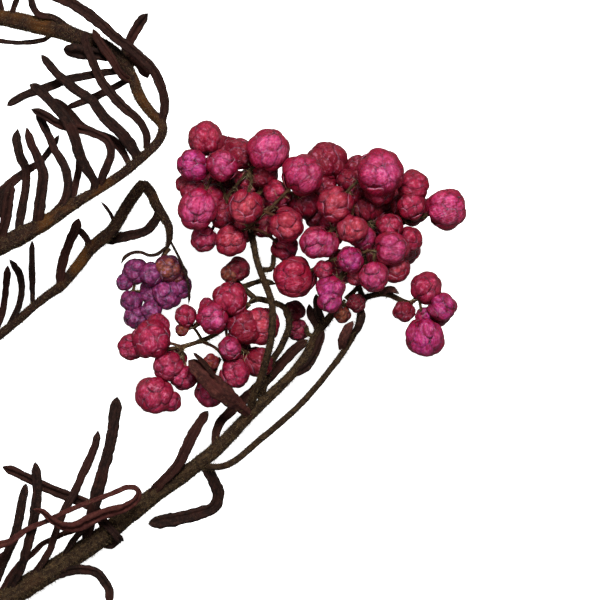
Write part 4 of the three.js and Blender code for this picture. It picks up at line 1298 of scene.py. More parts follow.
@dataclass
class BudHead:
    """One head: a forked stalk whose every twig ends in a bud of overlapping bracts.

    Lengths are in millimetres. The bracts of a bud number bract_base, and bracts_per_mm more for each
    millimetre of its radius, within bract_range.
    """

    name: str
    slot: str
    seed: int
    root: Point
    forks: Sequence[Point]
    buds: Sequence[tuple]
    back: Sequence[BackRule] = ()
    # The hidden buds on the back take maroon by default, which stands in partly for painted shade.
    back_tone: Tone = Tone.MAROON
    fork_radius: float = 0.25
    stalk_radius: float = 0.17
    forks_at: float = 0.55
    detour: float = 3.0
    bow: float = 0.12
    stretch: float = 1.05
    spread: float = 138.0
    ruffle: float = 0.12
    inner_size: float = 0.94
    crumple: tuple[float, float] = (0.16, 700.0)
    stalk_shrivel: tuple[float, float] = (0.4, 1800.0)
    stalk_step: float = 0.3
    stalk_end: float = 0.75
    stalk_flare: float = 0.35
    stalk_twist: float = 1.0
    globe_share: float = 0.96
    globe_extra: float = 0.12
    bract_base: float = 9.0
    bracts_per_mm: float = 4.0
    bract_range: tuple[int, int] = (11, 18)
    wisp_density: float = 3.0e6
    wisp_lean: float = 1.1

    def build(self, shop: Workshop) -> None:
        """Builds the bracts, the stalks and the wisps of the head.

        Args:
            shop: the trees, shapes and finishes.
        """
        chance = random.Random(self.seed)
        rows = [*self.buds, *(row for rule in self.back for row in rule.buds(self.back_tone))]
        routes, axes = self._stalks(rows, chance)
        beds = self._beds(rows, axes, chance)
        bracts = shop.growths.buds.grow(
            f"{self.name}_bracts", beds, Bract_Forms=shop.growths.bracts, Core=shop.growths.core,
            Spread=math.radians(self.spread), Turn=GOLDEN_ANGLE, Ruffle=self.ruffle,
            Inner_Size=self.inner_size, Crumple=self.crumple[0], Crumple_Scale=self.crumple[1],
            Finish=shop.bracts[self.slot])
        dress(bracts, self.slot, self.name)
        stalks = shop.growths.sweep.grow(f"{self.name}_stalks", routes.mesh(f"{self.name}_routes"),
                                         Section=shop.growths.sections["stalk"],
                                         Shrivel=self.stalk_shrivel[0], Shrivel_Scale=self.stalk_shrivel[1],
                                         Finish=shop.stalk)
        dress(stalks, self.slot, self.name)
        wisps = shop.growths.fuzz.grow(f"{self.name}_wisps", stalks.data, Hair=shop.long_hair,
                                       Per_Square_Metre=self.wisp_density, Lean=self.wisp_lean,
                                       Seed=self.seed, Finish=shop.wisp)
        dress(wisps, self.slot, self.name)

    def _stalks(self, rows: Sequence[tuple], chance: random.Random) -> tuple[Routes, np.ndarray]:
        """Joins each bud to the nearest fork, or to where an earlier stalk may branch.

        Args:
            rows: the buds.
            chance: the head's own random numbers.

        Returns:
            The routes of all the stalks, and the way that each bud faces.
        """
        routes, places = Routes(), [np.array(self.root, float)]
        for fork in np.array(self.forks, float):
            start = min(places, key=lambda place: np.linalg.norm(place - fork))
            self._stalk(routes, start, fork, self.fork_radius, chance)
            places.append(fork)
        starts, axes = places[1:], []
        for row in rows:
            middle = np.array(row[:3], float)
            start = min(starts, key=lambda place: self._cost(place, middle, rows))
            axis = (middle - start) / np.linalg.norm(middle - start)
            self._stalk(routes, start, middle - axis * row[3] * self.stalk_end, self.stalk_radius, chance)
            starts.append(start + (middle - start) * self.forks_at)
            axes.append(axis)
        return routes, np.array(axes)

    def _cost(self, start: np.ndarray, end: np.ndarray, rows: Sequence[tuple]) -> float:
        """Tells how long a straight stalk is, made longer for each other bud that it would pass through.

        Args:
            start: where it starts.
            end: the middle of the bud that it leads to.
            rows: the buds.

        Returns:
            The length in millimetres, detours included.
        """
        way = end - start
        crossed = 0
        for row in rows:
            middle = np.array(row[:3], float)
            share = min(1.0, max(0.0, np.dot(middle - start, way) / np.dot(way, way)))
            other = np.linalg.norm(middle - end) > 0
            crossed += other and np.linalg.norm(start + share * way - middle) < row[3]
        return np.linalg.norm(way) + self.detour * crossed

    def _stalk(self, routes: Routes, start: np.ndarray, end: np.ndarray, radius: float,
               chance: random.Random) -> None:
        """Adds one stalk, bowed a little to one side and thicker at its ends.

        Args:
            routes: the routes that it joins.
            start: where it starts.
            end: where it ends.
            radius: its radius half way along.
            chance: the random numbers.
        """
        bow = np.array([chance.uniform(-1, 1) for _ in range(3)]) * self.bow * np.linalg.norm(end - start)
        line = route([start, (start + end) / 2 + bow, end], self.stalk_step)
        share = np.linspace(0, 1, len(line))
        width = radius * MM * (1 + self.stalk_flare * (2 * share - 1) ** 4)
        routes.add(line, width, self.stalk_twist, chance.random())

    def _beds(self, rows: Sequence[tuple], axes: np.ndarray, chance: random.Random) -> bpy.types.Mesh:
        """Gathers what each bud's bracts start from: its middle, size, facing and colours.

        Args:
            rows: the buds.
            axes: the way that each bud faces.
            chance: the random numbers.

        Returns:
            A mesh with one point for each bud.
        """
        radii = np.array([row[3] for row in rows])
        globes = (radii * self.globe_share + self.globe_extra) * MM
        tints = [linear(row[4].value[0]) for row in rows]
        # The second colour of each tone is the glow that the bract finish paints where the bud faces up.
        hearts = [linear(row[4].value[1]) for row in rows]
        counts = np.clip(np.round(self.bract_base + self.bracts_per_mm * radii), *self.bract_range)
        return mesh_of(f"{self.name}_beds", placed([row[:3] for row in rows]), axis=axes, radius=globes,
                       bracts=counts, stretch=np.full(len(rows), self.stretch),
                       spin=np.array([chance.uniform(0, 6.28) for _ in rows]), tint=np.array(tints),
                       heart=np.array(hearts))


@dataclass
class CutEnd:
    """The sawn face at the root of the main stem."""

    stem: Stem
    node: str = "main_stem"
    slot: str = "woolly_stem"
    rings: int = 5
    spokes: int = 24
    fit: float = 0.86
    dome: float = 0.12
    sink: float = 0.2
    step: float = 0.5

    def build(self, shop: Workshop) -> None:
        """Builds a low dome of wood across the end of the stem.

        Args:
            shop: the trees, shapes and finishes.
        """
        line = route(self.stem.path, self.step)
        away = Vector(line[0] - line[1]).normalized()
        turn = away.to_track_quat("Z", "Y")
        radius = self.stem.radius[0] * MM * self.fit
        points, out = [Vector((0, 0, self.dome * MM))], [0.0]
        for ring in range(1, self.rings + 1):
            share = ring / self.rings
            rise = (self.dome * (1 - share ** 2) - self.sink * (ring == self.rings)) * MM
            points += [Vector((math.cos(a), math.sin(a), 0)) * radius * share + Vector((0, 0, rise))
                       for a in (2 * math.pi * s / self.spokes for s in range(self.spokes))]
            out += [share] * self.spokes
        after = [(s + 1) % self.spokes for s in range(self.spokes)]
        faces = [[0, 1 + s, 1 + after[s]] for s in range(self.spokes)]
        for ring in range(self.rings - 1):
            low = 1 + ring * self.spokes
            high = low + self.spokes
            faces += [[low + s, high + s, high + after[s], low + after[s]] for s in range(self.spokes)]
        base = 1 + (self.rings - 1) * self.spokes
        faces.append([base + s for s in reversed(range(self.spokes))])
        placed_points = np.array([turn @ point + Vector(line[0]) for point in points])
        placed_points[:, 2] = np.maximum(placed_points[:, 2], FLOOR_CLEARANCE)
        mesh = mesh_of("cut_end", placed_points, faces=faces, up=np.array(out))
        mesh.materials.append(shop.cut_wood)
        mesh.polygons.foreach_set("use_smooth", [True] * len(mesh.polygons))
        piece = bpy.data.objects.new("cut_end", mesh)
        bpy.context.scene.collection.objects.link(piece)
        dress(piece, self.slot, self.node)


@dataclass(frozen=True)
class Lamp:
    """A soft square light: where it hangs and how wide it is, in metres, and its power in watts."""

    name: str
    place: Point
    size: float
    power: float

    def hang(self) -> None:
        """Hangs the light so that it faces the branch."""
        data = bpy.data.lights.new(self.name, "AREA")
        data.size = self.size
        data.energy = self.power
        light = bpy.data.objects.new(self.name, data)
        light.location = self.place
        light.rotation_mode = "QUATERNION"
        light.rotation_quaternion = Vector(self.place).to_track_quat("Z", "Y")
        bpy.context.scene.collection.objects.link(light)


@dataclass
class Studio:
    """The pale surface, the soft light and the camera that looks straight down on the branch."""

    view_middle: Point = (30.0, 30.0, 8.0)
    view_width: float = 60.0
    lens: float = 300.0
    sensor: float = 36.0
    floor_size: float = 1.2
    lamps: Sequence[Lamp] = (Lamp("key", (0.06, 0.26, 0.45), 0.16, 4.0),
                             Lamp("fill", (-0.3, -0.06, 0.4), 0.3, 0.8))
    room_light: float = 0.17

    def build(self) -> None:
        """Builds the stage."""
        self._floor()
        self._camera()
        for lamp in self.lamps:
            lamp.hang()
        world = bpy.data.worlds.new("white_room")
        world.use_nodes = True
        room = world.node_tree.nodes["Background"].inputs
        room["Color"].default_value = (1.0, 1.0, 1.0, 1.0)
        room["Strength"].default_value = self.room_light
        bpy.context.scene.world = world
        bpy.context.scene.view_settings.view_transform = "Standard"

    def _floor(self) -> None:
        """Lays one wide sheet under the branch."""
        half = self.floor_size / 2
        corners = np.array([(-half, -half, 0), (half, -half, 0), (half, half, 0), (-half, half, 0)])
        mesh = mesh_of("surface", corners, faces=[(0, 1, 2, 3)])
        mesh.materials.append(SurfaceFinish().material())
        floor = bpy.data.objects.new("surface", mesh)
        bpy.context.scene.collection.objects.link(floor)

    def _camera(self) -> None:
        """Hangs the camera over the middle of the measured square, as high as fills the view with it."""
        middle = placed([self.view_middle])[0]
        height = self.view_width * MM * self.lens / self.sensor
        data = bpy.data.cameras.new("camera")
        data.lens = self.lens
        data.sensor_width = self.sensor
        camera = bpy.data.objects.new("camera", data)
        camera.location = (middle[0], middle[1], middle[2] + height)
        bpy.context.scene.collection.objects.link(camera)
        bpy.context.scene.camera = camera


MAIN_AXIS = Stem((1.5, 1.42, 1.33, 1.22, 1.1, 0.95, 0.72, 0.52, 0.44), [
    (-31, -17, 1.2), (-20, -11.2, 1.7), (-10, -5.8, 2.4), (0, -0.3, 3.1), (4.6, 2.5, 3.5), (9.5, 5.8, 4.1),
    (12.1, 7.9, 4.45), (15.5, 10.5, 4.9), (21, 14.5, 5.8), (25, 18.5, 6.5), (30, 23.5, 7.2), (32, 27, 7.6),
    (34.5, 30, 8)])
FLOWER_STALKS = [
    Stem((0.42, 0.35), [(24.8, 18.6, 6.4), (25.4, 20.5, 7.8), (26.3, 22.9, 9.4), (27.2, 26.6, 11.2),
                        (27.2, 29.7, 11), (26.4, 32, 10.4), (25.7, 34, 9.7), (25.2, 36.5, 8.6),
                        (24.8, 37.5, 8.2)]),
    Stem((0.4, 0.32), [(26, 20, 6.6), (27, 23.5, 6.6), (28.2, 25.5, 7.2), (28.9, 27.5, 8.2),
                       (28.5, 29.2, 8.4), (27.2, 29.8, 8.2), (25.6, 30.1, 7.8), (24.8, 29.6, 7.6)]),
    Stem((0.38, 0.32), [(19.6, 13.4, 5.6), (22.5, 13.4, 6), (26, 16, 6.6), (30, 19.5, 7.2), (33, 23, 7.8),
                        (34.8, 25.5, 8.2), (35.8, 27.5, 8.6), (36.3, 30, 8.8), (37.5, 30.5, 8.8),
                        (38.6, 30.6, 8.8), (40, 30, 8.8), (41, 29.7, 8.8)]),
    Stem((0.32, 0.26), [(25.5, 30.1, 7.8), (24, 31.5, 7.6), (23, 32.5, 7.8), (22.9, 33.6, 8)]),
    Stem((0.3, 0.26), [(24.2, 31.3, 7.6), (26.2, 31.9, 7.4), (27.5, 31.6, 8.2)]),
    Stem((0.32, 0.26), [(26.2, 33, 10), (27.2, 33.2, 8.8), (27.4, 34.8, 8)]),
    Stem((0.34, 0.28), [(36.4, 30, 8.8), (36, 31, 9), (35.8, 32, 9)]),
]
MAIN_LEAVES = [
    Leaf(2, [(25.2, 18.3, 6.7), (23.1, 20.2, 9.6), (21.3, 21.8, 10.6), (20, 23.2, 11.2), (18.9, 24, 11.5)],
         (0.6, 0.65, 0.85, 1, 1, 0.95), LeafForm.FLAT, red=True),
    Leaf(0.5, [(21.5, 22.4, 10.9), (20.4, 23.8, 11.4), (19.4, 24.8, 11.8)]),
    Leaf(1.05, [(21.5, 15.2, 5.9), (21.7, 17.2, 5.6), (22.8, 18.6, 5.3), (24.6, 20.2, 5.2), (26.8, 22.2, 5.3),
                (28.5, 24, 5.5), (29.8, 25.3, 5.8), (30.8, 26, 6)]),
    Leaf(0.8, [(29.4, 22.6, 7.1), (30.7, 23.3, 8), (31.5, 24.5, 8.3), (31.9, 25.6, 8.5), (32.4, 26.9, 8.5)]),
    Leaf(1.05, [(14.6, 10, 4.8), (16, 11.6, 6), (17.8, 13.5, 6.6), (19, 16, 7), (19.9, 17.6, 7.1),
                (20.8, 18.9, 7.2)]),
    Leaf(1.25, [(20.2, 13.9, 5.7), (21.2, 12, 4.8), (21.8, 10.4, 4.1), (21.4, 9.2, 3.8), (20.2, 8.6, 3.6),
                (18, 8, 3.4), (14.7, 7.4, 3.6)]),
    Leaf(1.2, [(8.3, 5.2, 4), (9.5, 10, 6.2), (10.3, 13, 7), (11.1, 16, 7.4), (11.7, 20.3, 7.6)]),
    Leaf(0.95, [(2.4, 1.4, 3.3), (4.1, 3.6, 4.8), (4.9, 5, 5.4), (5.4, 6.5, 5.7), (6.3, 8.8, 5.8),
                (7.4, 10.8, 5.8), (8.2, 12.6, 5.7), (9.4, 15.4, 5.4),
                (9.7, 16.9, 5.4)], (0.7, 0.75, 0.8, 1, 1.05, 1)),
    Leaf(1.05, [(10.4, 6.8, 4.4), (9.5, 8.8, 4.8), (8.5, 9.5, 4.7), (6.2, 10.4, 4.5), (4.7, 11, 4.4),
                (3.1, 11.8, 4.3), (1.5, 12.6, 4.2), (0, 13.2, 4.2)]),
    Leaf(0.95, [(0.4, 0.2, 3.2), (2, 3.2, 5.4), (2.4, 4.4, 6.2), (3, 6.5, 7), (3.5, 9, 7.4), (3.7, 11, 7.6),
                (3.5, 13.8, 7.8)]),
    Leaf(0.9, [(-1.6, -0.9, 3), (0, 3.2, 4.2), (0.5, 4.4, 4.6), (1.1, 5.7, 5), (1.6, 7.3, 5.4),
               (2.05, 9.5, 5.8), (2.5, 11.6, 6)]),
    Leaf(1, [(-4.4, -2.4, 2.8), (-3.6, 1.6, 5.4), (-0.4, 5.3, 7.2), (0.95, 5.8, 7.4), (2.8, 7.1, 7.8),
             (4.7, 7.9, 8.1), (6.3, 8.7, 8.3), (7.9, 9.4, 8.5), (9.5, 10, 8.6), (11.5, 10.8, 8.8),
             (12.7, 11.3, 8.8), (13.6, 11.2, 8.7), (13.9, 10.7, 8.5), (13.5, 9.9, 8.2), (12.4, 9.2, 7.9),
             (10.6, 8.7, 7.6), (8.8, 7.9, 7.5), (7.6, 7.3, 7.7), (6.3, 7.4, 8.2), (5.2, 8.05, 8.8),
             (4.3, 8.9, 9.1), (3.3, 9.1, 9.2)],
         (0.8, 0.9, 0.95, 0.9, 0.6, 0.55, 0.55, 0.55, 0.6, 1.1, 1.3, 0.9, 0.5), red=True),
    Leaf(0.65, [(-0.8, -0.4, 3.1), (1.6, 3.2, 4.2), (3.3, 4.7, 4.6), (4, 5.4, 4.7), (5.2, 6, 4.8),
                (6.3, 6.5, 4.8), (7.7, 6.8, 4.7)]),
    Leaf(0.6, [(6.2, 4.2, 4.2), (6.9, 5.4, 5), (8, 6.7, 5.3), (9, 7.6, 5.4), (9.8, 8.2, 5.4)]),
    Leaf(0.95, [(4.6, 2.7, 3.4), (5.5, 2.3, 3.9), (6.8, 2.7, 4.8), (7.9, 2.9, 5.6), (9.5, 2.7, 6.4),
                (10.3, 1.9, 6.8), (10.9, 0.95, 7), (10.9, -0.6, 7)]),
    Leaf(0.75, [(12, 5.7, 4.2), (11.8, 6, 5.1), (11.2, 6.7, 5.6), (10.5, 7.5, 5.5), (9.8, 8.2, 5)]),
    Leaf(0.8, [(11.9, 6.3, 4.5), (11.3, 5.5, 4), (10.2, 5, 3.6)]),
    Leaf(0.85, [(32, 26.9, 7.4), (31.2, 28.4, 6.4), (30.9, 29.6, 6.2)]),
    Leaf(0.8, [(32.4, 27.4, 7.4), (31.8, 29, 7.2), (31.6, 30.6, 7.4)]),
    Leaf(1, [(34.2, 25.1, 8.2), (34.3, 26, 9), (34.7, 27, 9.2), (35.3, 27.9, 9)], red=True),
    Leaf(0.75, [(35.2, 26.4, 8.4), (36, 27.6, 9.4), (36.3, 29.2, 9.6)]),
    Leaf(0.7, [(38.1, 30.6, 8.8), (39, 31.1, 9.6), (39.9, 30.6, 10)], red=True),
]
CURLED_AXIS = Stem((1.25, 1.2, 1.15, 1.1, 1.05, 1.02, 1, 0.92, 0.5, 0.48, 0.62, 0.92, 0.85), [
    (-22.6, -12.4, 1.9), (-21.6, -4, 5), (-20.4, 6, 8), (-17.6, 17, 10.4), (-13, 26, 12), (-7, 31.8, 13),
    (0, 35.2, 13.6), (2.5, 36.4, 13.7), (5, 37.8, 13.8), (7.5, 39.4, 13.8), (10, 40.9, 13.8),
    (12, 42.2, 13.7), (14, 43.8, 13.5), (16, 45.8, 13), (16.4, 47.2, 12.8), (15.2, 48.6, 12.6),
    (14.2, 50, 12.5), (13.3, 52.2, 12.4), (12.3, 53.8, 12.2), (10.4, 55.3, 12), (8, 56.1, 11.8),
    (6.2, 56.8, 11.7), (3.5, 57.4, 11.6), (1.2, 57.9, 11.6), (-3, 58.4, 11.8)])
CURLED_LEAVES = [
    Leaf(1, [(14.1, 43.9, 13.4), (13.5, 44.9, 13.9), (12.5, 46.3, 14.4), (10.8, 47.9, 15), (9.4, 49.7, 15.2),
             (7.8, 50.8, 15.2), (5.7, 52.7, 15.2), (4.5, 54.2, 15)], (1.2, 1.25, 1.1, 0.9, 0.9)),
    Leaf(0.9, [(14.8, 45, 13.2), (14.8, 46.5, 13.8), (14, 47.8, 14.2), (12.6, 49, 14.5), (11.3, 50.4, 14.6),
               (10.2, 52, 14.4), (9.5, 53.6, 14.2), (8.8, 55.4, 14), (8.8, 56.6, 13.8)]),
    Leaf(0.85, [(13.1, 43.4, 13.6), (12.5, 44.6, 13), (11.5, 45.8, 12.6), (10.2, 46.3, 12.4),
                (8.4, 47.2, 12.2), (7.2, 48.5, 12), (6.2, 49.4, 12), (5.2, 49.9, 12)]),
    Leaf(0.9, [(10, 41, 13.8), (10.6, 42.4, 14.6), (11.4, 44.6, 15.3), (11, 45.7, 15.5), (10, 46.3, 15.6),
               (8.5, 46.8, 15.6), (7.2, 47, 15.6), (5.8, 47.6, 15.5), (4.7, 48.3, 15.5), (3.5, 48.8, 15.4)]),
    Leaf(1, [(9.5, 40.4, 13.8), (9.7, 41.6, 14.4), (8.8, 43.2, 15.2), (8.2, 44.6, 15.8), (7.7, 46.4, 16.2),
             (6.8, 48, 16.3), (5.7, 49.3, 16.3), (4.1, 50.8, 16.2), (3.4, 51.2, 16.2)]),
    Leaf(0.75, [(7.3, 39.2, 13.8), (7.7, 41.2, 13), (8.1, 43.2, 12.4), (8, 45.5, 12), (7.4, 47, 11.8)]),
    Leaf(0.85, [(5, 38, 13.8), (6.7, 39.8, 14.2), (7.1, 41.5, 14.4), (6.7, 43.3, 14.4), (5.8, 44.8, 14.4),
                (5.2, 46.2, 14.2), (4.6, 47.4, 14), (4, 48.7, 14)]),
    Leaf(1.15, [(4, 37.2, 13.8), (4.2, 38.5, 14.6), (4.5, 40.5, 15.2), (4.7, 42.3, 15.6), (4.2, 44, 15.8),
                (3.5, 45.5, 16), (3.1, 47, 16)], (1, 1.05, 1, 0.8, 0.7)),
    Leaf(0.9, [(2.1, 36.4, 13.8), (2.4, 38.5, 13.2), (2.8, 41, 12.6), (2.8, 43, 12.2), (2.2, 44.3, 12),
               (1.9, 46, 11.8), (2, 47, 11.8)]),
    Leaf(1.1, [(0.2, 35.4, 13.8), (1, 38, 15), (1.3, 40, 15.6), (1.6, 41.6, 15.8)]),
    Leaf(1.1, [(-1.4, 34.7, 13.6), (-0.4, 37.5, 14.6), (0.4, 39.6, 15), (0.6, 41, 15)]),
    Leaf(0.9, [(-3.5, 33.8, 13.4), (-1.5, 37.8, 12.4), (0.5, 40.8, 12), (2.6, 42.6, 11.8), (4.3, 43.8, 11.6),
               (5.3, 45.1, 11.6), (6.1, 46.4, 11.6)], (1.1, 1, 1, 0.8, 0.7)),
    Leaf(0.85, [(12.6, 52.8, 12.2), (11.8, 52.7, 12.8), (9.5, 52.3, 13.2), (7.1, 51.8, 13.6),
                (4.7, 50.9, 13.5), (2.6, 50.2, 13.3), (1, 49.2, 13.2)]),
    Leaf(0.75, [(12.9, 51.8, 12.4), (11.1, 50.9, 11.4), (9.2, 50, 10.8), (7.8, 49.5, 10.6),
                (6.6, 49.1, 10.4)]),
    Leaf(1.55, [(12, 54, 12.2), (10, 54.3, 13.2), (8, 54.6, 13.7), (6.6, 54.8, 13.8)], (0.7, 0.75, 0.95, 1)),
    Leaf(0.5, [(5.6, 56.7, 11.7), (4.8, 56, 10.9), (3.5, 55.7, 10.5), (1.9, 55.6, 10.4), (0, 55.8, 10.4),
               (-1.5, 56, 10.4)]),
    Leaf(1.05, [(12.4, 53.7, 12.1), (12.8, 54.9, 11.4), (13.1, 55.8, 11), (13.9, 57.3, 10.9),
                (14.5, 58.1, 11), (14.9, 58.5, 11)]),
    Leaf(1.3, [(12.9, 53.2, 12.2), (13.6, 54.2, 12), (14.3, 53.5, 12), (14.9, 52, 12)]),
    Leaf(1, [(16.3, 47.1, 12.8), (16.6, 49.6, 13.4), (16.3, 51, 13.8), (15.4, 52.9, 14.1), (14.6, 53.7, 14.2),
             (13.3, 54.8, 14.3), (11.8, 55.9, 14.3), (10.4, 57.2, 14.2), (9, 58.3, 14), (7.1, 59.5, 13.7),
             (5.4, 60.2, 13.5), (3, 61, 13.2)]),
    Leaf(0.8, [(13.4, 51.6, 12.6), (12.3, 52.3, 13.6), (11.4, 53.8, 14), (10.2, 55.5, 14),
               (9.5, 56.8, 13.8)]),
    Leaf(0.65, [(7, 57, 11.8), (5.6, 58, 12.4), (4.1, 58.3, 12.6), (3.5, 59.2, 12.8), (3.3, 60.8, 12.8)]),
    Leaf(0.6, [(1.4, 57.8, 11.6), (1.6, 59, 12.2), (2.3, 60.4, 12.6)]),
    Leaf(0.8, [(0.4, 57.9, 11.6), (0.2, 59, 11.8), (-0.3, 61.4, 12)]),
    Leaf(0.9, [(-2.4, 58.3, 11.8), (-5, 58.2, 12.6), (-7.6, 56.8, 12.8)]),
    Leaf(0.85, [(-2.6, 58.4, 11.8), (-5.2, 59.6, 11.4), (-8, 60.2, 11.2)]),
    Leaf(0.85, [(-2.4, 58.3, 11.8), (-4.4, 58, 10.4), (-6.4, 56.2, 9.6)]),
]
BUDDING_AXIS = Stem((0.95, 0.9, 0.82, 0.72, 0.6, 0.5, 0.44, 0.66, 0.6, 0.42), [
    (-17.9, -10, 1.8), (-16.6, -2, 2.4), (-14.4, 7, 3), (-10.6, 15.4, 3.6), (-5.6, 22.2, 4), (0, 26.7, 4.2),
    (1.6, 28, 4.3), (3.2, 29.4, 4.5), (4.5, 30.4, 4.6), (6, 31.5, 4.6), (7.9, 33.8, 4.7), (8.95, 35.2, 4.8),
    (10.5, 36.5, 4.9), (11.3, 37.3, 5), (12.1, 38.6, 5.1), (12.9, 39.9, 5.2), (13.7, 41, 5.3),
    (14.2, 41.6, 5.3), (15, 40.7, 5.2), (15.5, 39.6, 5), (16.3, 38.3, 4.7), (16.8, 37.3, 4.5),
    (16.8, 36, 4.3), (16.5, 35.1, 4)])
BUDDING_LEAVES = [
    Leaf(0.7, [(0.6, 27.3, 4.2), (1.5, 28.9, 4.8), (2, 30.7, 5.2), (1.85, 32.5, 5.5), (0.8, 34.1, 5.6)]),
    Leaf(0.7, [(-1.2, 26, 4.1), (-0.1, 28.5, 3.6), (0.3, 31, 3.4), (0.5, 33.5, 3.4)]),
    Leaf(0.6, [(3.1, 29.3, 4.4), (3, 32, 3.8), (2.95, 34.1, 3.4), (2.95, 36, 3.2)]),
    Leaf(0.95, [(5.8, 31.2, 4.6), (6, 33.2, 5.3), (6.8, 35.7, 5.9), (7.5, 37.2, 6.2), (7.8, 38.2, 6.2)]),
    Leaf(0.7, [(8.6, 34.9, 4.8), (8.7, 35.8, 5.2), (8.2, 36.6, 5.5), (7.5, 37.4, 5.8)]),
    Leaf(1, [(15.9, 39, 4.9), (15.4, 38, 4.4), (14.5, 37, 3.8), (12.9, 36.5, 3.3), (11.6, 36.3, 3),
             (10.2, 35.8, 2.8)]),
    Leaf(0.35, [(16.6, 35.4, 4.3), (15.6, 34.6, 4.7), (14.8, 34.5, 4.8), (14, 34.8, 5), (13, 34.7, 5),
                (12.3, 34.2, 5), (12, 33.6, 5)]),
    Leaf(0.3, [(16.9, 36, 4.2), (17.9, 34.1, 4.8), (18.6, 32.3, 5), (18.85, 30.7, 4.9), (18.8, 29.5, 4.8)]),
    Leaf(0.35, [(11.3, 37.6, 5), (11.1, 38.4, 5.4), (10.6, 39.2, 5.8), (10, 39.9, 6)]),
]
SHOOTS = [
    LeafyShoot("main_stem", MAIN_AXIS, MAIN_LEAVES, LeafSpiral(0.1, 0.38, 6, 11.5, 1.1, 0.6, 5),
               31, FLOWER_STALKS),
    LeafyShoot("curled_shoot", CURLED_AXIS, CURLED_LEAVES, LeafSpiral(0.05, 0.42, 11, 11.5, 1.05, 1.4, 8), 41,
               young=True),
    LeafyShoot("budding_shoot", BUDDING_AXIS, BUDDING_LEAVES, LeafSpiral(0.12, 0.5, 7, 9, 0.85, 2.2, 12), 51,
               young=True),
]
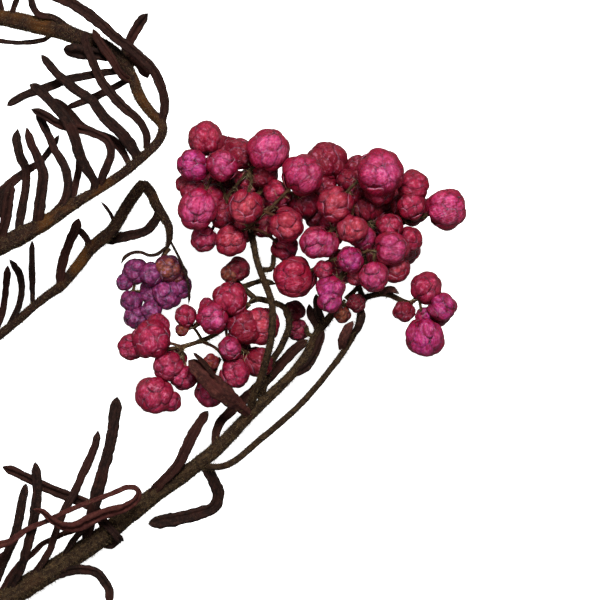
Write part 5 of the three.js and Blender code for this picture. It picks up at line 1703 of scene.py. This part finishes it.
HEADS = [
    BudHead("head_left", "crimson_bract", 21, (24.8, 37.6, 8.2),
            [(22.6, 40.2, 8.6), (26.2, 41, 8.4), (24.4, 40.4, 5)],
            [(20.6, 46.1, 8, 1.65, CRIMSON), (22.3, 45.5, 7.2, 0.95, MAROON),
             (19.4, 43.4, 10.5, 1.5, MAGENTA), (22.3, 43.4, 11.2, 1.5, PINK), (23.9, 44.6, 8.6, 1.45, MAROON),
             (26.9, 44.9, 10.8, 2, PINK), (26.4, 42.7, 9, 1.35, MAROON), (18.5, 41.6, 8.2, 0.85, CORAL),
             (19.8, 39, 10.4, 1.9, PINK), (19.4, 40.8, 8.6, 1.2, CRIMSON), (24.6, 39.2, 12.9, 1.55, CORAL),
             (27.7, 40.5, 9.8, 1.35, CRIMSON), (28.7, 37.5, 11.4, 1.55, CORAL),
             (30.3, 42.4, 11.6, 1.95, PINK), (20.4, 36.1, 8.2, 1.25, RASPBERRY),
             (23.1, 35.9, 10.4, 1.5, CORAL), (22.4, 38.4, 8.4, 1.25, MAROON), (26.5, 37.5, 8.2, 1.2, MAROON),
             (28.5, 35.3, 8, 1.25, CRIMSON), (21.2, 40.2, 8.4, 1.3, CRIMSON), (30.4, 39.6, 8.8, 1.4, MAROON),
             (24.9, 41.8, 7.6, 1.3, MAROON), (24, 41.6, 1.25, 1.4, CRIMSON), (22.6, 39.9, 7.4, 1.15, MAROON),
             (28.6, 39.6, 7.6, 1.25, MAROON), (26.2, 39.6, 6.8, 1.2, MAROON)],
            [BackRule((23.8, 40.6, 7.4), (4.2, 4.1, 5.2), 7, 1.6)]),
    BudHead("head_right", "crimson_bract", 22, (34.6, 30.1, 8),
            [(36.4, 33.8, 8.4), (37, 38, 8.8), (39.6, 37.4, 8.6), (36.8, 36.6, 5)],
            [(32.7, 43.8, 7, 1.95, MAROON), (35.7, 43.4, 6.4, 1.05, MAROON), (34.7, 42, 7.8, 1, MAROON),
             (38, 42.7, 11.8, 2.25, PINK), (38, 41, 10.4, 1.4, CRIMSON), (41.3, 41.4, 9.4, 1.45, CRIMSON),
             (41.1, 39.4, 9.8, 1.25, CRIMSON), (44.6, 39.1, 8.6, 1.9, PINK), (42.4, 39.3, 8, 0.85, MAROON),
             (33.5, 39.5, 12.6, 1.65, CORAL), (35.2, 37, 12.4, 1.4, CORAL), (36.2, 36.2, 10.6, 1.2, PINK),
             (31.6, 35.7, 12, 1.5, PINK), (32.6, 35.6, 11.8, 1.25, PINK), (35, 34, 12.8, 1.2, MAGENTA),
             (29.4, 32.3, 10.6, 1.95, CRIMSON), (33, 31.2, 11.6, 1.3, MAGENTA), (33, 30, 11.6, 1.15, MAGENTA),
             (38.9, 37.3, 10.4, 1.2, CRIMSON), (39.1, 35.1, 12, 1.6, PINK), (40.8, 36, 9.2, 1.25, CRIMSON),
             (39.5, 33.1, 10.4, 1.3, CORAL), (37.3, 32.3, 12, 1.4, PINK), (35.5, 32.4, 11, 0.9, CORAL),
             (32.3, 33, 11.8, 0.85, CRIMSON), (33.3, 37.3, 9.4, 1.4, CRIMSON), (37, 39.2, 8.6, 1.35, MAROON),
             (35.9, 40.6, 8, 1.2, MAROON), (38, 36.2, 1.3, 1.45, CRIMSON), (32.4, 41.3, 7.2, 1.25, MAROON),
             (31.6, 38.5, 7.4, 1.2, MAROON)],
            [BackRule((36.6, 37.6, 7.4), (4.7, 4.8, 5.2), 9, 1.7)]),
    BudHead("head_lower", "crimson_bract", 23, (24.9, 29.6, 7.6),
            [(22.8, 27.4, 7.4), (20.2, 25.9, 7.8), (18.2, 25.3, 7.8)],
            [(13.1, 25.3, 8.6, 1.2, RASPBERRY), (15.2, 26.1, 9.6, 1.85, RASPBERRY),
             (15.8, 27.4, 8.6, 1.15, RASPBERRY), (16.8, 23.4, 9.2, 1.4, RASPBERRY),
             (18.4, 22.3, 8.6, 1.2, RASPBERRY), (15.5, 20.5, 9.2, 1.8, RASPBERRY),
             (17, 19.9, 8.8, 1, RASPBERRY), (18.6, 28.4, 8.8, 1, CRIMSON), (18.2, 27, 8.6, 0.55, WITHERED),
             (21.3, 28.2, 10.2, 1.45, PINK), (20.7, 29.5, 9.4, 0.65, RASPBERRY),
             (23, 30.1, 9.4, 1.6, CRIMSON), (24.4, 27.3, 8.6, 1.7, MAROON), (26.1, 27.4, 7.9, 1.8, CORAL),
             (23, 25.2, 9.4, 1.05, PINK), (23.5, 22.7, 8.2, 1.4, RASPBERRY), (25.8, 23.8, 7.4, 1.4, MAROON),
             (20.9, 20.7, 7.8, 1.35, RASPBERRY), (20.5, 22.5, 8, 1.05, MAROON),
             (21.1, 23.8, 8.4, 0.7, WITHERED)],
            [BackRule((15.9, 23.8, 7.4), (1.7, 3, 2.1), 2, 1.4),
             BackRule((23.6, 27.2, 6.6), (1.8, 2.6, 2.2), 3, 1.4)],
            RASPBERRY),
    BudHead("head_spray", "crimson_bract", 24, (41, 29.7, 8.8), [(41.9, 30.2, 8.9)],
            [(42.6, 31.2, 9, 1.5, RASPBERRY), (44.2, 29.3, 9.2, 1.3, MAGENTA), (42.5, 26.3, 9, 1.85, MAGENTA),
             (42.4, 28.4, 8.6, 0.8, MAGENTA), (40.4, 28.9, 8.6, 1, MAROON)],
            [BackRule((42.9, 28.6, 8), (1, 1.6, 1.2), 1, 1.2)], RASPBERRY),
    BudHead("head_purple", "purple_bract", 25, (16.8, 35.2, 4), [(15.6, 32.8, 3.2)],
            [(13.4, 32.9, 3.4, 1.2, PURPLE), (12.3, 31.8, 3.3, 0.8, PURPLE), (15, 32.6, 3.9, 1.1, PURPLE),
             (13, 29.9, 3, 1.05, PURPLE), (13.4, 28.3, 2.7, 1.1, PURPLE), (15, 29, 3.2, 1, PURPLE),
             (14.8, 30.8, 2.6, 1.05, PURPLE), (16.6, 30.6, 3.3, 1.4, PURPLE), (17.9, 31.3, 2.9, 1.1, PURPLE),
             (16.7, 33.2, 3.8, 1.3, WITHERED), (17.6, 32.6, 3.1, 1, WITHERED),
             (15.3, 31.4, 1.15, 1.25, PURPLE)]),
    BudHead("withered_bud_left", "withered_bract", 26, (22.9, 33.6, 8), [(23.3, 33.5, 8)],
            [(23.8, 33.1, 8, 1.1, MAROON), (23, 32.6, 8.3, 0.85, WITHERED)]),
    BudHead("withered_bud_middle", "withered_bract", 27, (34.2, 29.6, 8), [(34.7, 29.4, 8.9)],
            [(35.6, 29.7, 9.8, 0.85, MAROON), (34.2, 28.5, 9.4, 0.75, WITHERED)]),
    BudHead("withered_bud_low", "withered_bract", 28, (31.6, 26.4, 7.5), [(30.6, 27, 6)],
            [(29.8, 27, 5.4, 1, RASPBERRY), (29.4, 28.9, 5.4, 1, MAROON)]),
]


def main() -> None:
    """Builds the stage and the branch, piece by piece."""
    logging.basicConfig(level=logging.INFO, format="%(name)s %(message)s")
    Studio().build()
    shop = Workshop.equipped()
    for shoot in SHOOTS:
        shoot.build(shop)
    CutEnd(MAIN_AXIS).build(shop)
    for head in HEADS:
        head.build(shop)


if __name__ == "__main__":
    main()
